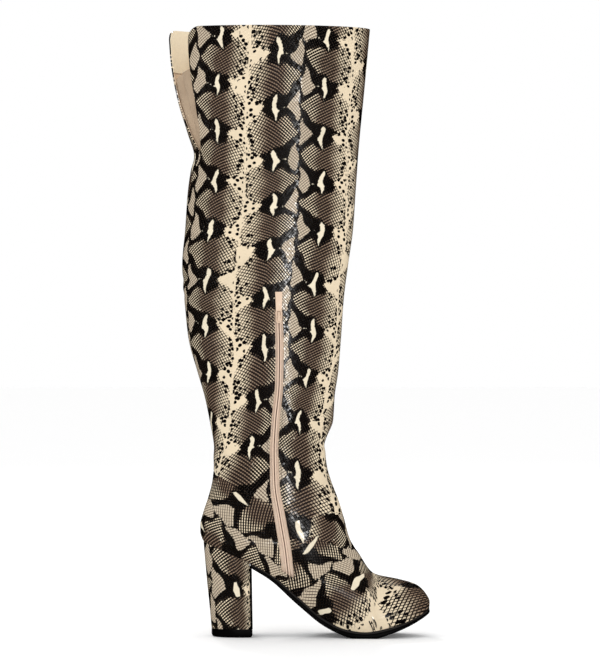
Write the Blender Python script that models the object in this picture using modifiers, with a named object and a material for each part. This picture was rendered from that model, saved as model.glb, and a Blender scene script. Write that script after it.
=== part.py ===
"""Left thigh-high boot: covered block heel, inner-side zip, gored slit at the back of the collar.

Table lengths are millimetres. X runs forward from the back of the heel counter, Y to the wearer's left
(so the zip side is -Y) and Z up from the floor. The boot hangs on one empty, which moves it so that the middle
of its footprint is the origin.
"""

import math

import bmesh
import bpy
import numpy as np
from mathutils import Matrix

MM = 0.001
SMOOTH_DEG = 40.0
WELD = 0.01

# Walls and fits
WALL = 1.5
FIT_GAP = 0.3

# The shaft: level sections from the collar down to the ankle
SHAFT_COLUMNS = ("height", "back", "front", "depth")
SHAFT = (
    (610.0, -34.0, 171.0, 104.0),
    (577.0, -30.0, 168.0, 102.0),
    (540.0, -23.0, 164.5, 98.0),
    (505.0, -12.5, 161.0, 94.0),
    (482.0, -6.0, 159.0, 92.0),
    (467.0, -9.5, 158.0, 92.0),
    (445.0, -12.5, 156.5, 92.0),
    (409.0, -15.0, 154.0, 90.0),
    (373.0, -18.0, 149.0, 88.0),
    (337.0, -15.5, 144.5, 86.0),
    (301.0, -12.0, 142.0, 84.0),
    (265.0, -2.5, 139.0, 82.0),
    (241.0, 4.5, 135.5, 80.0),
    (217.0, 9.5, 134.0, 77.0),
    (193.0, 13.5, 126.0, 73.0),
    (175.0, 14.0, 126.8, 70.0),
    (157.0, 12.5, 131.5, 68.0),
)

# The foot: sections that fan from the ankle down to the feather line, where the upper meets the sole.
# sag is the share of the sole's arch that a section follows, r an end radius, the rest half widths;
# "in" is the zip side and "out" the other.
FOOT_COLUMNS = ("back_x", "back_z", "front_x", "front_z", "sag", "back_r", "heel",
                "waist_in", "waist_out", "ball_in", "ball_out", "front_r")
FOOT = (
    (8.0, 139.0, 138.0, 140.0, 0.00, 20.0, 25.0, 33.5, 33.5, 31.0, 31.0, 22.0),
    (3.0, 124.0, 144.5, 120.0, 0.04, 23.0, 27.5, 34.0, 34.0, 32.0, 32.0, 23.0),
    (0.2, 112.0, 150.5, 98.0, 0.12, 25.0, 29.0, 33.5, 34.0, 33.0, 33.0, 24.0),
    (0.2, 105.0, 160.0, 82.5, 0.27, 26.0, 30.0, 32.5, 33.8, 34.0, 34.0, 25.0),
    (1.0, 101.0, 175.5, 62.4, 0.38, 26.5, 30.0, 31.5, 33.4, 36.0, 36.5, 26.0),
    (1.8, 98.6, 200.0, 56.8, 0.61, 27.0, 29.5, 30.5, 32.8, 39.0, 40.0, 28.0),
    (2.4, 97.0, 217.0, 51.8, 0.82, 27.0, 29.0, 29.5, 32.2, 41.0, 42.0, 29.0),
    (2.9, 96.2, 227.3, 42.2, 0.94, 27.0, 28.5, 28.5, 31.6, 41.5, 42.5, 29.0),
    (3.5, 95.5, 231.0, 34.0, 0.99, 27.0, 28.0, 27.5, 31.0, 40.5, 41.5, 28.5),
    (4.0, 95.0, 230.5, 27.7, 1.00, 26.5, 27.0, 26.0, 29.6, 38.5, 39.5, 27.0),
)
WIDTH_PLACES = (0.15, 0.45, 0.70)
TOE_SWING = 5.0
SWING_FROM = 100.0

# The line of the sole seen from the side: the feather line above and the tread below
FEATHER = ((4.0, 95.0), (28.0, 84.5), (49.0, 74.7), (70.0, 63.3), (97.0, 41.0), (123.0, 19.4),
           (145.0, 9.0), (164.0, 6.4), (188.0, 10.6), (213.0, 19.0), (230.5, 27.7))
TREAD = ((50.0, 70.0), (70.0, 57.5), (97.0, 33.0), (123.0, 12.0), (139.0, 4.0), (152.0, 0.0),
         (174.0, 0.0), (189.0, 4.0), (207.0, 11.0), (224.0, 19.6), (232.5, 24.6))

# The slit at the back of the collar, as the Y of its two edges, and its rounded collar corners
SLIT_COLUMNS = ("height", "near", "far")
SLIT = ((610.0, -31.0, 8.0), (537.0, -28.0, -2.0), (507.0, -24.5, -8.0), (487.0, -18.5, -14.5))
SLIT_RELAXED = 0.45
SLIT_RELAX_LENGTH = 85.0
COLLAR_CORNER = 15.0
CORNER_FADE = 60.0

# The zip, as the X of its middle line and the half width of its cut
ZIP_COLUMNS = ("height", "middle", "half_width")
ZIP = ((330.0, 77.7, 4.2), (288.0, 78.9, 4.2), (255.0, 78.5, 4.2), (215.0, 74.9, 4.2),
       (187.0, 73.6, 4.3), (154.0, 74.4, 4.8), (121.0, 79.4, 5.6), (88.0, 84.8, 5.9), (62.0, 87.6, 5.8))
ZIP_TOP = 328.0
ZIP_BOTTOM = 63.0
TAPE_LAP = 5.0
TAPE_THICK = 0.8
TAPE_GAP = 0.4
COIL_HALF_WIDTH = 2.3
COIL_THICK = 1.4
COIL_DEPTH = WALL - COIL_THICK
COIL_SHORT = 1.0
ZIP_SEARCH_STEPS = 200

# Grid of the upper: rings down the boot and columns round it
SHAFT_RINGS_TO_SLIT_END = 7
SHAFT_RINGS_BELOW = 17
FOOT_STEPS = (2, 2, 2, 2, 2, 2, 2, 1, 1)
COLUMNS = 44
COLUMN_ZIP_FRONT = 10
COLUMN_SLIT_NEAR = 19
COLUMN_SLIT_FAR = 23
CORNER_COLUMNS = 3
CORNER_ANGLE = 0.22

# Gore in the slit
GORE_TOP_NEAR = 570.0
GORE_TOP_FAR = 556.0
GORE_BOTTOM = 479.0
GORE_LAP = 0.10
GORE_THICK = 1.0
GORE_CREASE = 4.5
GORE_CREASE_POWER = 1.5
GORE_GAP = 0.7
GORE_ROWS = 9
GORE_COLUMNS = 9

# Sole unit, insole and heel
SOLE_START = 50.9
# Each row is one line round the sole's side: depth as a share of its thickness, and how far it stands out
SOLE_EDGE = ((0.00, 0.3), (0.07, 0.9), (0.26, 1.0), (0.31, 0.5), (0.38, 0.5), (0.43, 1.4),
             (0.72, 1.7), (0.93, 1.1), (1.00, -0.6))
WAIST_TRIM = 0.8
INSOLE_INSET = 2.6
INSOLE_THICK = 3.0
SOLE_STATIONS = 26
HEEL_COLUMNS = ("height", "back", "breast", "half_width")
HEEL = ((8.3, 11.6, 50.6, 23.6), (30.0, 9.6, 50.2, 24.0), (55.0, 7.0, 49.8, 25.2), (95.0, 3.4, 49.4, 27.2))
HEEL_CORNER = 3.0
HEEL_LEVELS = 6
HEEL_ARC_STEPS = 12
LIFT_HEIGHT = 8.0
# Rows of the top lift's side: height share and how far it is drawn in
LIFT_EDGE = ((0.0, 1.8), (0.16, 0.5), (0.4, 0.0), (1.0, 0.0))
FLAP_THICK = 1.6
FLAP_INSET = 1.2
FLAP_TOP_CLEAR = 0.9

# Slider and pull tab, about the pull tab's axis
SLIDER_LENGTH = 12.0
SLIDER_TOP_WIDTH = 7.2
SLIDER_LOW_WIDTH = 5.6
SLIDER_THICK = 2.0
SLIDER_CLEAR = 0.5
SLIDER_NOSE = 0.8
SLIDER_CORNER = 2.2
BAIL_HALF_SPAN = 3.4
BAIL_BAR = 1.2
BAIL_WIDTH = 1.8
BAIL_SINK = 0.5
BAIL_CHAMFER = 0.5
TAB_LENGTH = 25.0
TAB_WIDTH = 7.2
TAB_THICK = 1.2
TAB_TAPER = 0.9
TAB_CORNER = 0.6
TAB_LEAN_DEG = 3.0
TAB_WINDOW_WIDTH = 3.2
TAB_WINDOW_LENGTH = 4.6
TAB_WINDOW_CORNER = 0.3
AXIS_HEIGHT = 321.0
AXIS_CLEAR = 1.2


def columns(names, rows):
    """A table's rows as one array for each named column."""
    return dict(zip(names, np.array(rows, float).T))


def read_along(knots, values, places):
    """Values on a smooth curve through the knots that doesn't overshoot between them."""
    knots = np.asarray(knots, float)
    values = np.asarray(values, float)
    order = np.argsort(knots)
    knots, values = knots[order], values[order]
    places = np.clip(np.asarray(places, float), knots[0], knots[-1])
    steps = np.diff(knots)
    rises = np.diff(values) / steps
    slopes = np.concatenate([rises[:1], np.zeros(len(knots) - 2), rises[-1:]])
    for i in range(1, len(knots) - 1):
        if rises[i - 1] * rises[i] > 0:
            before, after = 2 * steps[i] + steps[i - 1], steps[i] + 2 * steps[i - 1]
            slopes[i] = (before + after) / (before / rises[i - 1] + after / rises[i])
    i = np.clip(np.searchsorted(knots, places, side="right") - 1, 0, len(steps) - 1)
    f = (places - knots[i]) / steps[i]
    ends = values[i] * (1 + 2 * f) * (1 - f) ** 2 + values[i + 1] * f * f * (3 - 2 * f)
    return ends + steps[i] * (slopes[i] * f * (1 - f) ** 2 - slopes[i + 1] * f * f * (1 - f))


def feather_height(x):
    """Height of the feather line at X."""
    return read_along(*zip(*FEATHER), x)


def tread_height(x):
    """Height of the tread at X."""
    return read_along(*zip(*TREAD), x)


def shaft_as_foot_rows():
    """The level shaft sections written in the foot table's columns, as ellipses."""
    rows = []
    for height, back, front, depth in SHAFT:
        end_radius = depth * depth / (2 * (front - back))
        heel, waist, ball = (depth * math.sqrt(s * (1 - s)) for s in WIDTH_PLACES)
        rows.append((back, height, front, height, 0.0, end_radius, heel, waist, waist, ball, ball, end_radius))
    return rows


class BootForm:
    """The outer face of the upper, as a function of the way down it and the angle round it.

    The way is 0 at the collar and counts millimetres down. The angle is 0 at the back, minus pi to plus pi at
    the front, and negative on the zip side.
    """

    def __init__(self):
        rows = np.array(shaft_as_foot_rows() + list(FOOT), float)
        back_step = np.hypot(*np.diff(rows[:, 0:2], axis=0).T)
        front_step = np.hypot(*np.diff(rows[:, 2:4], axis=0).T)
        step = (back_step + front_step) / 2
        shaft_steps = -np.diff([row[0] for row in SHAFT])
        step[: len(shaft_steps)] = shaft_steps
        self.ways = np.concatenate([[0.0], np.cumsum(step)])
        self.table = dict(zip(FOOT_COLUMNS, rows.T))
        self.length = self.ways[-1]
        self.ankle = self.ways[len(SHAFT) - 1]
        self.foot_ways = self.ways[len(SHAFT):]
        self.slit = columns(SLIT_COLUMNS, SLIT)
        self.zip = columns(ZIP_COLUMNS, ZIP)

    def row(self, way):
        """The section's sizes at a way."""
        return {name: float(read_along(self.ways, values, way)) for name, values in self.table.items()}

    def section(self, way, angles):
        """Points of one section at the given angles."""
        row = self.row(way)
        angles = np.asarray(angles, float)
        share = (1 - np.cos(angles)) / 2
        length = row["front_x"] - row["back_x"]
        x = row["back_x"] + length * share
        z = row["back_z"] + (row["front_z"] - row["back_z"]) * share + row["sag"] * self.arch(share)
        half = np.where(angles < 0, self.half_width(row, length, share, "in"),
                        self.half_width(row, length, share, "out"))
        y = np.sign(angles) * half
        swing = np.clip((x - SWING_FROM) / (FEATHER[-1][0] - SWING_FROM), 0, 1) ** 2
        return np.stack([x, y - TOE_SWING * swing, z], axis=-1)

    @staticmethod
    def half_width(row, length, share, side):
        """Half width of a section: round at both ends, through the widths at the heel, waist and ball."""
        widths = (row["heel"], row["waist_" + side], row["ball_" + side])
        fullness = [w * w / (s * (1 - s)) for w, s in zip(widths, WIDTH_PLACES)]
        fullness = [2 * length * row["back_r"], *fullness, 2 * length * row["front_r"]]
        return np.sqrt(share * (1 - share) * read_along((0.0, *WIDTH_PLACES, 1.0), fullness, share))

    @staticmethod
    def arch(share):
        """How far the feather line lies under the straight line between its ends."""
        (back_x, back_z), (front_x, front_z) = FEATHER[0], FEATHER[-1]
        return feather_height(back_x + (front_x - back_x) * share) - (back_z + (front_z - back_z) * share)

    def points(self, ways, angles):
        """A grid of points: a row for each way, with that row's angles."""
        return np.array([self.section(way, row) for way, row in zip(ways, angles)])

    def inside(self, ways, angles, depth):
        """The grid moved inwards, along the face's own normals."""
        step = 0.01
        here = self.points(ways, angles)
        round_it = self.points(ways, angles + step) - self.points(ways, angles - step)
        down = self.points(ways + 1, angles) - self.points(ways - 1, angles)
        inward = np.cross(down, round_it)
        inward /= np.linalg.norm(inward, axis=-1, keepdims=True)
        return here + inward * np.asarray(depth)[..., None]

    def zip_angle(self, way, offset):
        """Angle of a line that keeps an offset in X from the middle of the zip, plus forward."""
        row = self.row(way)
        share = 0.6
        for _ in range(12):
            height = row["back_z"] + (row["front_z"] - row["back_z"]) * share + row["sag"] * self.arch(share)
            x = read_along(self.zip["height"], self.zip["middle"], height) + offset
            share = (x - row["back_x"]) / (row["front_x"] - row["back_x"])
        return -math.acos(1 - 2 * float(share))

    def zip_height(self, way):
        """Height of the zip's middle line where it crosses a section."""
        return float(self.section(way, [self.zip_angle(way, 0.0)])[0, 2])

    def zip_way(self, height):
        """The way at which the zip's middle line has a height."""
        ways = np.linspace(SHAFT[0][0] - ZIP[0][0], self.length, ZIP_SEARCH_STEPS)
        heights = np.array([self.zip_height(way) for way in ways])
        return float(np.interp(-height, -heights, ways))

    def zip_half_width(self, way):
        """Half the width of the zip's cut at a way."""
        return float(read_along(self.zip["height"], self.zip["half_width"], self.zip_height(way)))

    def slit_angles(self, way):
        """Angles of the slit's near and far edges; below the slit they part to their relaxed places."""
        height = SHAFT[0][0] - min(way, self.slit_end)
        wide = np.linspace(0, math.pi / 2, 60)
        half_widths = self.section(min(way, self.slit_end), wide)[:, 1]
        edges = []
        for side, relaxed in (("near", -SLIT_RELAXED), ("far", SLIT_RELAXED)):
            y = float(np.interp(height, self.slit["height"][::-1], self.slit[side][::-1]))
            angle = math.copysign(float(np.interp(abs(y), half_widths, wide)), y)
            ease = min(max((way - self.slit_end) / SLIT_RELAX_LENGTH, 0), 1)
            edges.append(angle + (relaxed - angle) * ease)
        return edges

    @property
    def slit_end(self):
        """The way at the bottom of the slit."""
        return SHAFT[0][0] - SLIT[-1][0]


def ring_ways(form):
    """Ways of the upper's rings, with one at each end of the zip's cut."""
    ways = [
        *np.linspace(0, form.slit_end, SHAFT_RINGS_TO_SLIT_END, endpoint=False),
        *np.linspace(form.slit_end, form.ankle, SHAFT_RINGS_BELOW, endpoint=False),
    ]
    stops = [form.ankle, *form.foot_ways]
    for start, stop, steps in zip(stops, stops[1:], (2, *FOOT_STEPS)):
        ways.extend(np.linspace(start, stop, steps, endpoint=False))
    ways = np.array([*ways, form.length])
    ends = [form.zip_way(ZIP_TOP), form.zip_way(ZIP_BOTTOM)]
    places = [int(np.argmin(abs(ways - end))) for end in ends]
    ways[places] = ends
    return ways, places


def column_angles(form, way):
    """Angles of the upper's columns at a way, from the front round the zip side and back to the front."""
    half = form.zip_half_width(way)
    near, far = form.slit_angles(way)
    knots = (0, COLUMN_ZIP_FRONT, COLUMN_ZIP_FRONT + 1, COLUMN_SLIT_NEAR - CORNER_COLUMNS, COLUMN_SLIT_NEAR,
             COLUMN_SLIT_FAR, COLUMN_SLIT_FAR + CORNER_COLUMNS, COLUMNS)
    angles = (-math.pi, form.zip_angle(way, half), form.zip_angle(way, -half), near - CORNER_ANGLE, near,
              far, far + CORNER_ANGLE, math.pi)
    return np.interp(np.arange(COLUMNS + 1), knots, angles)


def corner_drop(points):
    """How far each point of the collar line drops, so that the slit's corners are round."""
    along = np.concatenate([[0], np.cumsum(np.linalg.norm(np.diff(points, axis=0), axis=1))])
    near, far = along[COLUMN_SLIT_NEAR], along[COLUMN_SLIT_FAR]
    reach = np.where(along < (near + far) / 2, near - along, along - far)
    inward = np.clip(1 - reach / COLLAR_CORNER, 0, 1)
    return COLLAR_CORNER * (1 - np.sqrt(1 - inward ** 2))


def material(name, colour, roughness, metallic=0.0):
    """A plain surface material."""
    made = bpy.data.materials.new(name)
    made.use_nodes = True
    shader = made.node_tree.nodes["Principled BSDF"]
    shader.inputs["Base Color"].default_value = (*colour, 1.0)
    shader.inputs["Roughness"].default_value = roughness
    shader.inputs["Metallic"].default_value = metallic
    return made


def new_object(name, data, surface, collection):
    """An object with its material, linked to a collection."""
    made = bpy.data.objects.new(name, data)
    made.data.materials.append(surface)
    collection.objects.link(made)
    return made


def object_from(name, bm, surface, collection):
    """An object made from a bmesh, shaded smooth apart from its sharp edges."""
    data = bpy.data.meshes.new(name)
    bm.to_mesh(data)
    bm.free()
    data.shade_smooth()
    data.set_sharp_from_angle(angle=math.radians(SMOOTH_DEG))
    return new_object(name, data, surface, collection)


def grid_sheet(points):
    """A bmesh grid that passes through a grid of points in millimetres.

    Its rows run down the boot and its columns from the front to the back on the zip side, so it faces outwards.
    """
    rows, across = points.shape[:2]
    bm = bmesh.new()
    bmesh.ops.create_grid(bm, x_segments=across - 1, y_segments=rows - 1, size=1.0)
    bm.verts.ensure_lookup_table()
    for vert, point in zip(bm.verts, points.reshape(-1, 3)):
        vert.co = point * MM
    return bm


def thicken(obj, thick):
    """Gives an open sheet its thickness, on the inner side."""
    solid = obj.modifiers.new("Thickness", "SOLIDIFY")
    solid.thickness = thick * MM
    solid.offset = -1.0
    solid.use_even_offset = True


def loft(loops, rear_edge):
    """A closed bmesh through a stack of loops, the first on top.

    A loop's points run from the rear along the zip side to the front and back along the other side, so that the
    end faces are strips between facing points. With rear_edge the loop's two ends are two points, and otherwise
    its first point is the middle of the rear.
    """
    bm = bmesh.new()
    verts = [[bm.verts.new(point * MM) for point in loop] for loop in loops]
    count = len(loops[0])
    for upper, lower in zip(verts, verts[1:]):
        for i in range(count):
            j = (i + 1) % count
            bm.faces.new((upper[i], upper[j], lower[j], lower[i]))
    last = count - 1 if rear_edge else count
    for end in (verts[0], verts[-1]):
        for i in range((last + 1) // 2 if rear_edge else last // 2):
            corners = [end[k % count] for k in (i, i + 1, last - i - 1, last - i)]
            strip = list(dict.fromkeys(corners))
            if len(strip) > 2:
                bm.faces.new(strip)
    bmesh.ops.recalc_face_normals(bm, faces=bm.faces)
    return bm


def make_upper(form, surface, collection):
    """The upper: one hollow wall, cut open at the slit and the zip and open underneath."""
    ways, (zip_top, zip_bottom) = ring_ways(form)
    angles = np.array([column_angles(form, way) for way in ways])
    drop = corner_drop(form.section(0.0, angles[0]))
    points = []
    for way, row in zip(ways, angles):
        fade = max(1 - way / CORNER_FADE, 0)
        places = way + drop * fade
        points.append([form.section(place, [angle])[0] for place, angle in zip(places, row)])
    bm = grid_sheet(np.array(points))
    slit_rings = int(np.argmin(abs(ways - form.slit_end)))
    cut = []
    for face in bm.faces:
        ring, column = divmod(min(vert.index for vert in face.verts), COLUMNS + 1)
        in_slit = ring < slit_rings and COLUMN_SLIT_NEAR <= column < COLUMN_SLIT_FAR
        in_zip = zip_top <= ring < zip_bottom and column == COLUMN_ZIP_FRONT
        if in_slit or in_zip:
            cut.append(face)
    bmesh.ops.delete(bm, geom=cut, context="FACES")
    bmesh.ops.remove_doubles(bm, verts=bm.verts, dist=WELD * MM)
    upper = object_from("upper", bm, surface, collection)
    thicken(upper, WALL)
    return upper


def make_gore(form, surface, collection):
    """The stretch gore: a piece of the upper's own form behind the slit, creased inwards down its middle."""
    collar = SHAFT[0][0]
    shares = np.linspace(0, 1, GORE_COLUMNS)
    tops = collar - (GORE_TOP_NEAR + (GORE_TOP_FAR - GORE_TOP_NEAR) * shares)
    ways, angles = [], []
    for down in np.linspace(0, 1, GORE_ROWS):
        ways.append(tops + (collar - GORE_BOTTOM - tops) * down)
        near, far = form.slit_angles(min(float(ways[-1].mean()), form.slit_end))
        angles.append(np.linspace(near - GORE_LAP, far + GORE_LAP, GORE_COLUMNS))
    ways, angles = np.array(ways), np.array(angles)
    crease = 1 - abs(2 * shares - 1)
    points = []
    for way_row, angle_row in zip(ways, angles):
        open_width = (angle_row[-1] - angle_row[0] - 2 * GORE_LAP) / (angles[0][-1] - angles[0][0] - 2 * GORE_LAP)
        depth = WALL + GORE_GAP + GORE_CREASE * crease ** GORE_CREASE_POWER * max(open_width, 0.0)
        points.append([form.inside(np.array([way]), np.array([[angle]]), [[inward]])[0, 0]
                       for way, angle, inward in zip(way_row, angle_row, depth)])
    bm = grid_sheet(np.array(points))
    gore = object_from("back_gore", bm, surface, collection)
    thicken(gore, GORE_THICK)
    return gore


def make_zip_strip(name, form, depth, thick, half_width, ends, surface, collection):
    """A strip along the zip, at a depth under the upper's outer face; half_width is a function of the way."""
    rings, (first, last) = ring_ways(form)
    ways = np.array([rings[first] - ends, *rings[first + 1:last], rings[last] + ends])
    angles = np.array([[form.zip_angle(way, offset * half_width(way)) for offset in (1.0, 0.0, -1.0)]
                       for way in ways])
    points = np.array([form.inside(np.full(1, way), row[None, :], np.full((1, 3), depth))[0]
                       for way, row in zip(ways, angles)])
    bm = grid_sheet(points)
    strip = object_from(name, bm, surface, collection)
    thicken(strip, thick)
    return strip


def sole_loop(form, stations, from_x):
    """The feather outline from an X to the toe, as a loop for loft with a straight rear edge."""
    back, front = FEATHER[0][0], FEATHER[-1][0]
    first = math.acos(1 - 2 * (from_x - back) / (front - back))
    angles = np.linspace(first, math.pi, stations)
    return form.section(form.length, np.concatenate([-angles, angles[-2::-1]]))


def grow(loop, distance):
    """A loop moved outwards in plan; distance may differ from point to point."""
    ahead = np.roll(loop, -1, axis=0) - np.roll(loop, 1, axis=0)
    out = np.stack([ahead[:, 1], -ahead[:, 0]], axis=-1)
    out /= np.linalg.norm(out, axis=1, keepdims=True)
    centre = loop[:, :2].mean(axis=0)
    if np.sum((loop[:, :2] - centre) * out) < 0:
        out = -out
    moved = loop.copy()
    moved[:, :2] += out * np.broadcast_to(np.asarray(distance, float), len(loop))[:, None]
    return moved


def make_outsole(form, surface, collection):
    """The sole unit from the heel's breast to the toe, with its stepped edge."""
    outline = sole_loop(form, SOLE_STATIONS, SOLE_START)
    trim = WAIST_TRIM * np.clip(1 - (outline[:, 0] - SOLE_START) / (SWING_FROM - SOLE_START), 0, 1)
    loops = []
    for share, stands_out in SOLE_EDGE:
        loop = grow(outline, stands_out - trim)
        loop[[0, -1], 0] = SOLE_START
        top = feather_height(outline[:, 0]) - FIT_GAP
        loop[:, 2] = top + (tread_height(outline[:, 0]) - top) * share
        loops.append(loop)
    bm = loft(loops, rear_edge=True)
    return object_from("outsole", bm, surface, collection)


def make_insole(form, surface, collection):
    """The insole: a board inside the upper that rests on sole and heel."""
    angles = np.linspace(0, math.pi, SOLE_STATIONS)
    outline = form.section(form.length, np.concatenate([-angles, angles[-2:0:-1]]))
    inner = grow(outline, -INSOLE_INSET)
    loops = []
    for lift in (FIT_GAP + INSOLE_THICK, FIT_GAP):
        loop = inner.copy()
        loop[:, 2] = feather_height(inner[:, 0]) + lift
        loops.append(loop)
    bm = loft(loops, rear_edge=False)
    return object_from("insole", bm, surface, collection)


def heel_outline(back, breast, half_width):
    """A heel section in plan: round at the back, flat at the breast with small corners."""
    reach = min(half_width, breast - back - HEEL_CORNER - 1)
    turn = np.linspace(0, math.pi / 2, HEEL_ARC_STEPS)
    side = np.stack([back + reach * (1 - np.cos(turn)), half_width * np.sin(turn)], axis=-1)
    corner = np.linspace(math.pi / 2, 0, 4)
    front = np.stack([breast - HEEL_CORNER * (1 - np.cos(corner)),
                      half_width - HEEL_CORNER * (1 - np.sin(corner))], axis=-1)
    half = np.concatenate([side, front, [[breast, 0.0]]])
    mirrored = half * (1, -1)
    return np.concatenate([mirrored, half[-2:0:-1]])


def heel_loop(height, extra=0.0):
    """The heel's section at a height, as a flat loop."""
    table = columns(HEEL_COLUMNS, HEEL)
    back, breast, half = (float(read_along(table["height"], table[name], height)) for name in HEEL_COLUMNS[1:])
    outline = heel_outline(back - extra, breast + min(extra, 0.0), half + extra)
    return np.column_stack([outline, np.full(len(outline), height)])


def make_heel(surface, collection):
    """The heel block, cupped to the slope of the heel seat."""
    low, high = HEEL[0][0], HEEL[-1][0]
    seat_plan = heel_loop(high)
    seat = feather_height(seat_plan[:, 0]) - FIT_GAP
    loops = []
    for share in np.linspace(1, 0, HEEL_LEVELS):
        heights = low + (seat - low) * share
        loops.append(np.array([heel_loop(height)[i] for i, height in enumerate(heights)]))
    loops[0][:, 2] = feather_height(loops[0][:, 0]) - FIT_GAP
    bm = loft(loops, rear_edge=False)
    return object_from("heel", bm, surface, collection)


def make_top_lift(surface, collection):
    """The black lift that the heel stands on, rounded under its rim."""
    loops = []
    for share, drawn_in in LIFT_EDGE[::-1]:
        loop = heel_loop(HEEL[0][0], extra=-drawn_in)
        loop[:, 2] = LIFT_HEIGHT * share
        loops.append(loop)
    bm = loft(loops, rear_edge=False)
    return object_from("heel_top_lift", bm, surface, collection)


def make_breast_flap(surface, collection):
    """The black flap on the heel's breast, from the top lift up to the sole."""
    top = tread_height(SOLE_START) - FLAP_TOP_CLEAR
    low = LIFT_HEIGHT + FIT_GAP
    table = columns(HEEL_COLUMNS, HEEL)
    loops = []
    for height in (top, low):
        breast = float(read_along(table["height"], table["breast"], height)) + FIT_GAP
        half = float(read_along(table["height"], table["half_width"], height)) - FLAP_INSET
        corners = ((breast, -half), (breast + FLAP_THICK, -half), (breast + FLAP_THICK, half), (breast, half))
        loops.append(np.array([(x, y, height) for x, y in corners]))
    bm = loft(loops, rear_edge=True)
    return object_from("heel_breast_flap", bm, surface, collection)


def flat_plate(name, outlines, thick, surface, collection):
    """A flat plate of a given thickness, from closed outlines in its own plane; a second outline is a hole."""
    curve = bpy.data.curves.new(name, "CURVE")
    curve.dimensions = "2D"
    curve.fill_mode = "BOTH"
    curve.extrude = thick * MM / 2
    for outline in outlines:
        spline = curve.splines.new("POLY")
        spline.points.add(len(outline) - 1)
        for point, (x, y) in zip(spline.points, outline):
            point.co = (x * MM, y * MM, 0.0, 1.0)
        spline.use_cyclic_u = True
    return new_object(name, curve, surface, collection)


def rounded_outline(half_low, half_high, low, high, radius, steps=4):
    """An outline with round corners that may taper: half widths at its low and high ends."""
    outline = []
    corners = ((half_high, high, 0), (-half_high, high, 1), (-half_low, low, 2), (half_low, low, 3))
    for x, y, quarter in corners:
        inner_x, inner_y = x - math.copysign(radius, x), y - math.copysign(radius, y - (low + high) / 2)
        for i in range(steps + 1):
            turn = math.pi / 2 * (quarter + i / steps)
            outline.append((inner_x + radius * math.cos(turn), inner_y + radius * math.sin(turn)))
    return outline


def mesh_of(obj, collection):
    """A curve object made a welded mesh object of the same name and place."""
    graph = bpy.context.evaluated_depsgraph_get()
    data = bpy.data.meshes.new_from_object(obj.evaluated_get(graph))
    bm = bmesh.new()
    bm.from_mesh(data)
    bmesh.ops.remove_doubles(bm, verts=bm.verts, dist=WELD * MM)
    bmesh.ops.recalc_face_normals(bm, faces=bm.faces)
    bm.to_mesh(data)
    bm.free()
    made = bpy.data.objects.new(obj.name + "_mesh", data)
    made.matrix_world = obj.matrix_world
    collection.objects.link(made)
    name = obj.name
    bpy.data.objects.remove(obj)
    made.name = name
    return made


def zip_axis(form):
    """The point of the pull tab's axis: over the slider, which rides on the coil."""
    way = form.zip_way(AXIS_HEIGHT)
    x, y, _ = form.section(way, [form.zip_angle(way, 0.0)])[0]
    slider_back = y + COIL_DEPTH - SLIDER_CLEAR
    return x, slider_back - SLIDER_THICK - AXIS_CLEAR, AXIS_HEIGHT


def upright(obj, place):
    """Stands a plate, drawn in X and Y, up on the zip side so that its Y runs up and its Z runs outwards."""
    obj.rotation_euler = (math.pi / 2, 0.0, 0.0)
    obj.location = [value * MM for value in place]


def make_slider(form, surface, collection, cutters):
    """The slider body with its bail, a bridge along the zip that the pull tab hangs on."""
    x, y, z = zip_axis(form)
    high = BAIL_HALF_SPAN + BAIL_BAR + SLIDER_NOSE
    outline = rounded_outline(SLIDER_LOW_WIDTH / 2, SLIDER_TOP_WIDTH / 2, high - SLIDER_LENGTH, high, SLIDER_CORNER)
    body = flat_plate("zip_slider", [outline], SLIDER_THICK, surface, collection)
    upright(body, (x, y + AXIS_CLEAR + SLIDER_THICK / 2, z))
    # The bail's side view: a bridge over the axis with a foot at each end, sunk a little into the body
    inner, outer = BAIL_HALF_SPAN, BAIL_HALF_SPAN + BAIL_BAR
    foot, under, over = -AXIS_CLEAR - BAIL_SINK, AXIS_CLEAR, AXIS_CLEAR + BAIL_BAR
    shoulder, brow = over - BAIL_CHAMFER, outer - BAIL_CHAMFER
    bridge = ((-outer, foot), (-inner, foot), (-inner, under), (inner, under), (inner, foot), (outer, foot),
              (outer, shoulder), (brow, over), (-brow, over), (-outer, shoulder))
    bail = flat_plate("zip_bail", [bridge], BAIL_WIDTH, surface, cutters)
    bail.matrix_world = Matrix(((0, 0, 1, x * MM), (0, -1, 0, y * MM), (1, 0, 0, z * MM), (0, 0, 0, 1)))
    bpy.context.view_layer.update()
    slider, bail = mesh_of(body, collection), mesh_of(bail, cutters)
    slider.data.materials.clear()
    slider.data.materials.append(surface)
    bail.hide_render = True
    bail.display_type = "WIRE"
    join = slider.modifiers.new("Bail", "BOOLEAN")
    join.operation = "UNION"
    join.object = bail
    return slider


def make_pull_tab(form, surface, collection):
    """The pull tab, folded up against the shaft; its end bar runs under the bail and is the joint's axis."""
    end = -TAB_THICK / 2
    outline = rounded_outline(TAB_WIDTH / 2 - TAB_TAPER, TAB_WIDTH / 2, end, end + TAB_LENGTH, TAB_CORNER)
    window = rounded_outline(TAB_WINDOW_WIDTH / 2, TAB_WINDOW_WIDTH / 2, TAB_THICK / 2,
                             TAB_THICK / 2 + TAB_WINDOW_LENGTH, TAB_WINDOW_CORNER)
    tab = flat_plate("zip_pull_tab", [outline, window], TAB_THICK, surface, collection)
    upright(tab, zip_axis(form))
    tab.rotation_euler.x -= math.radians(TAB_LEAN_DEG)
    return tab


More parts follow.
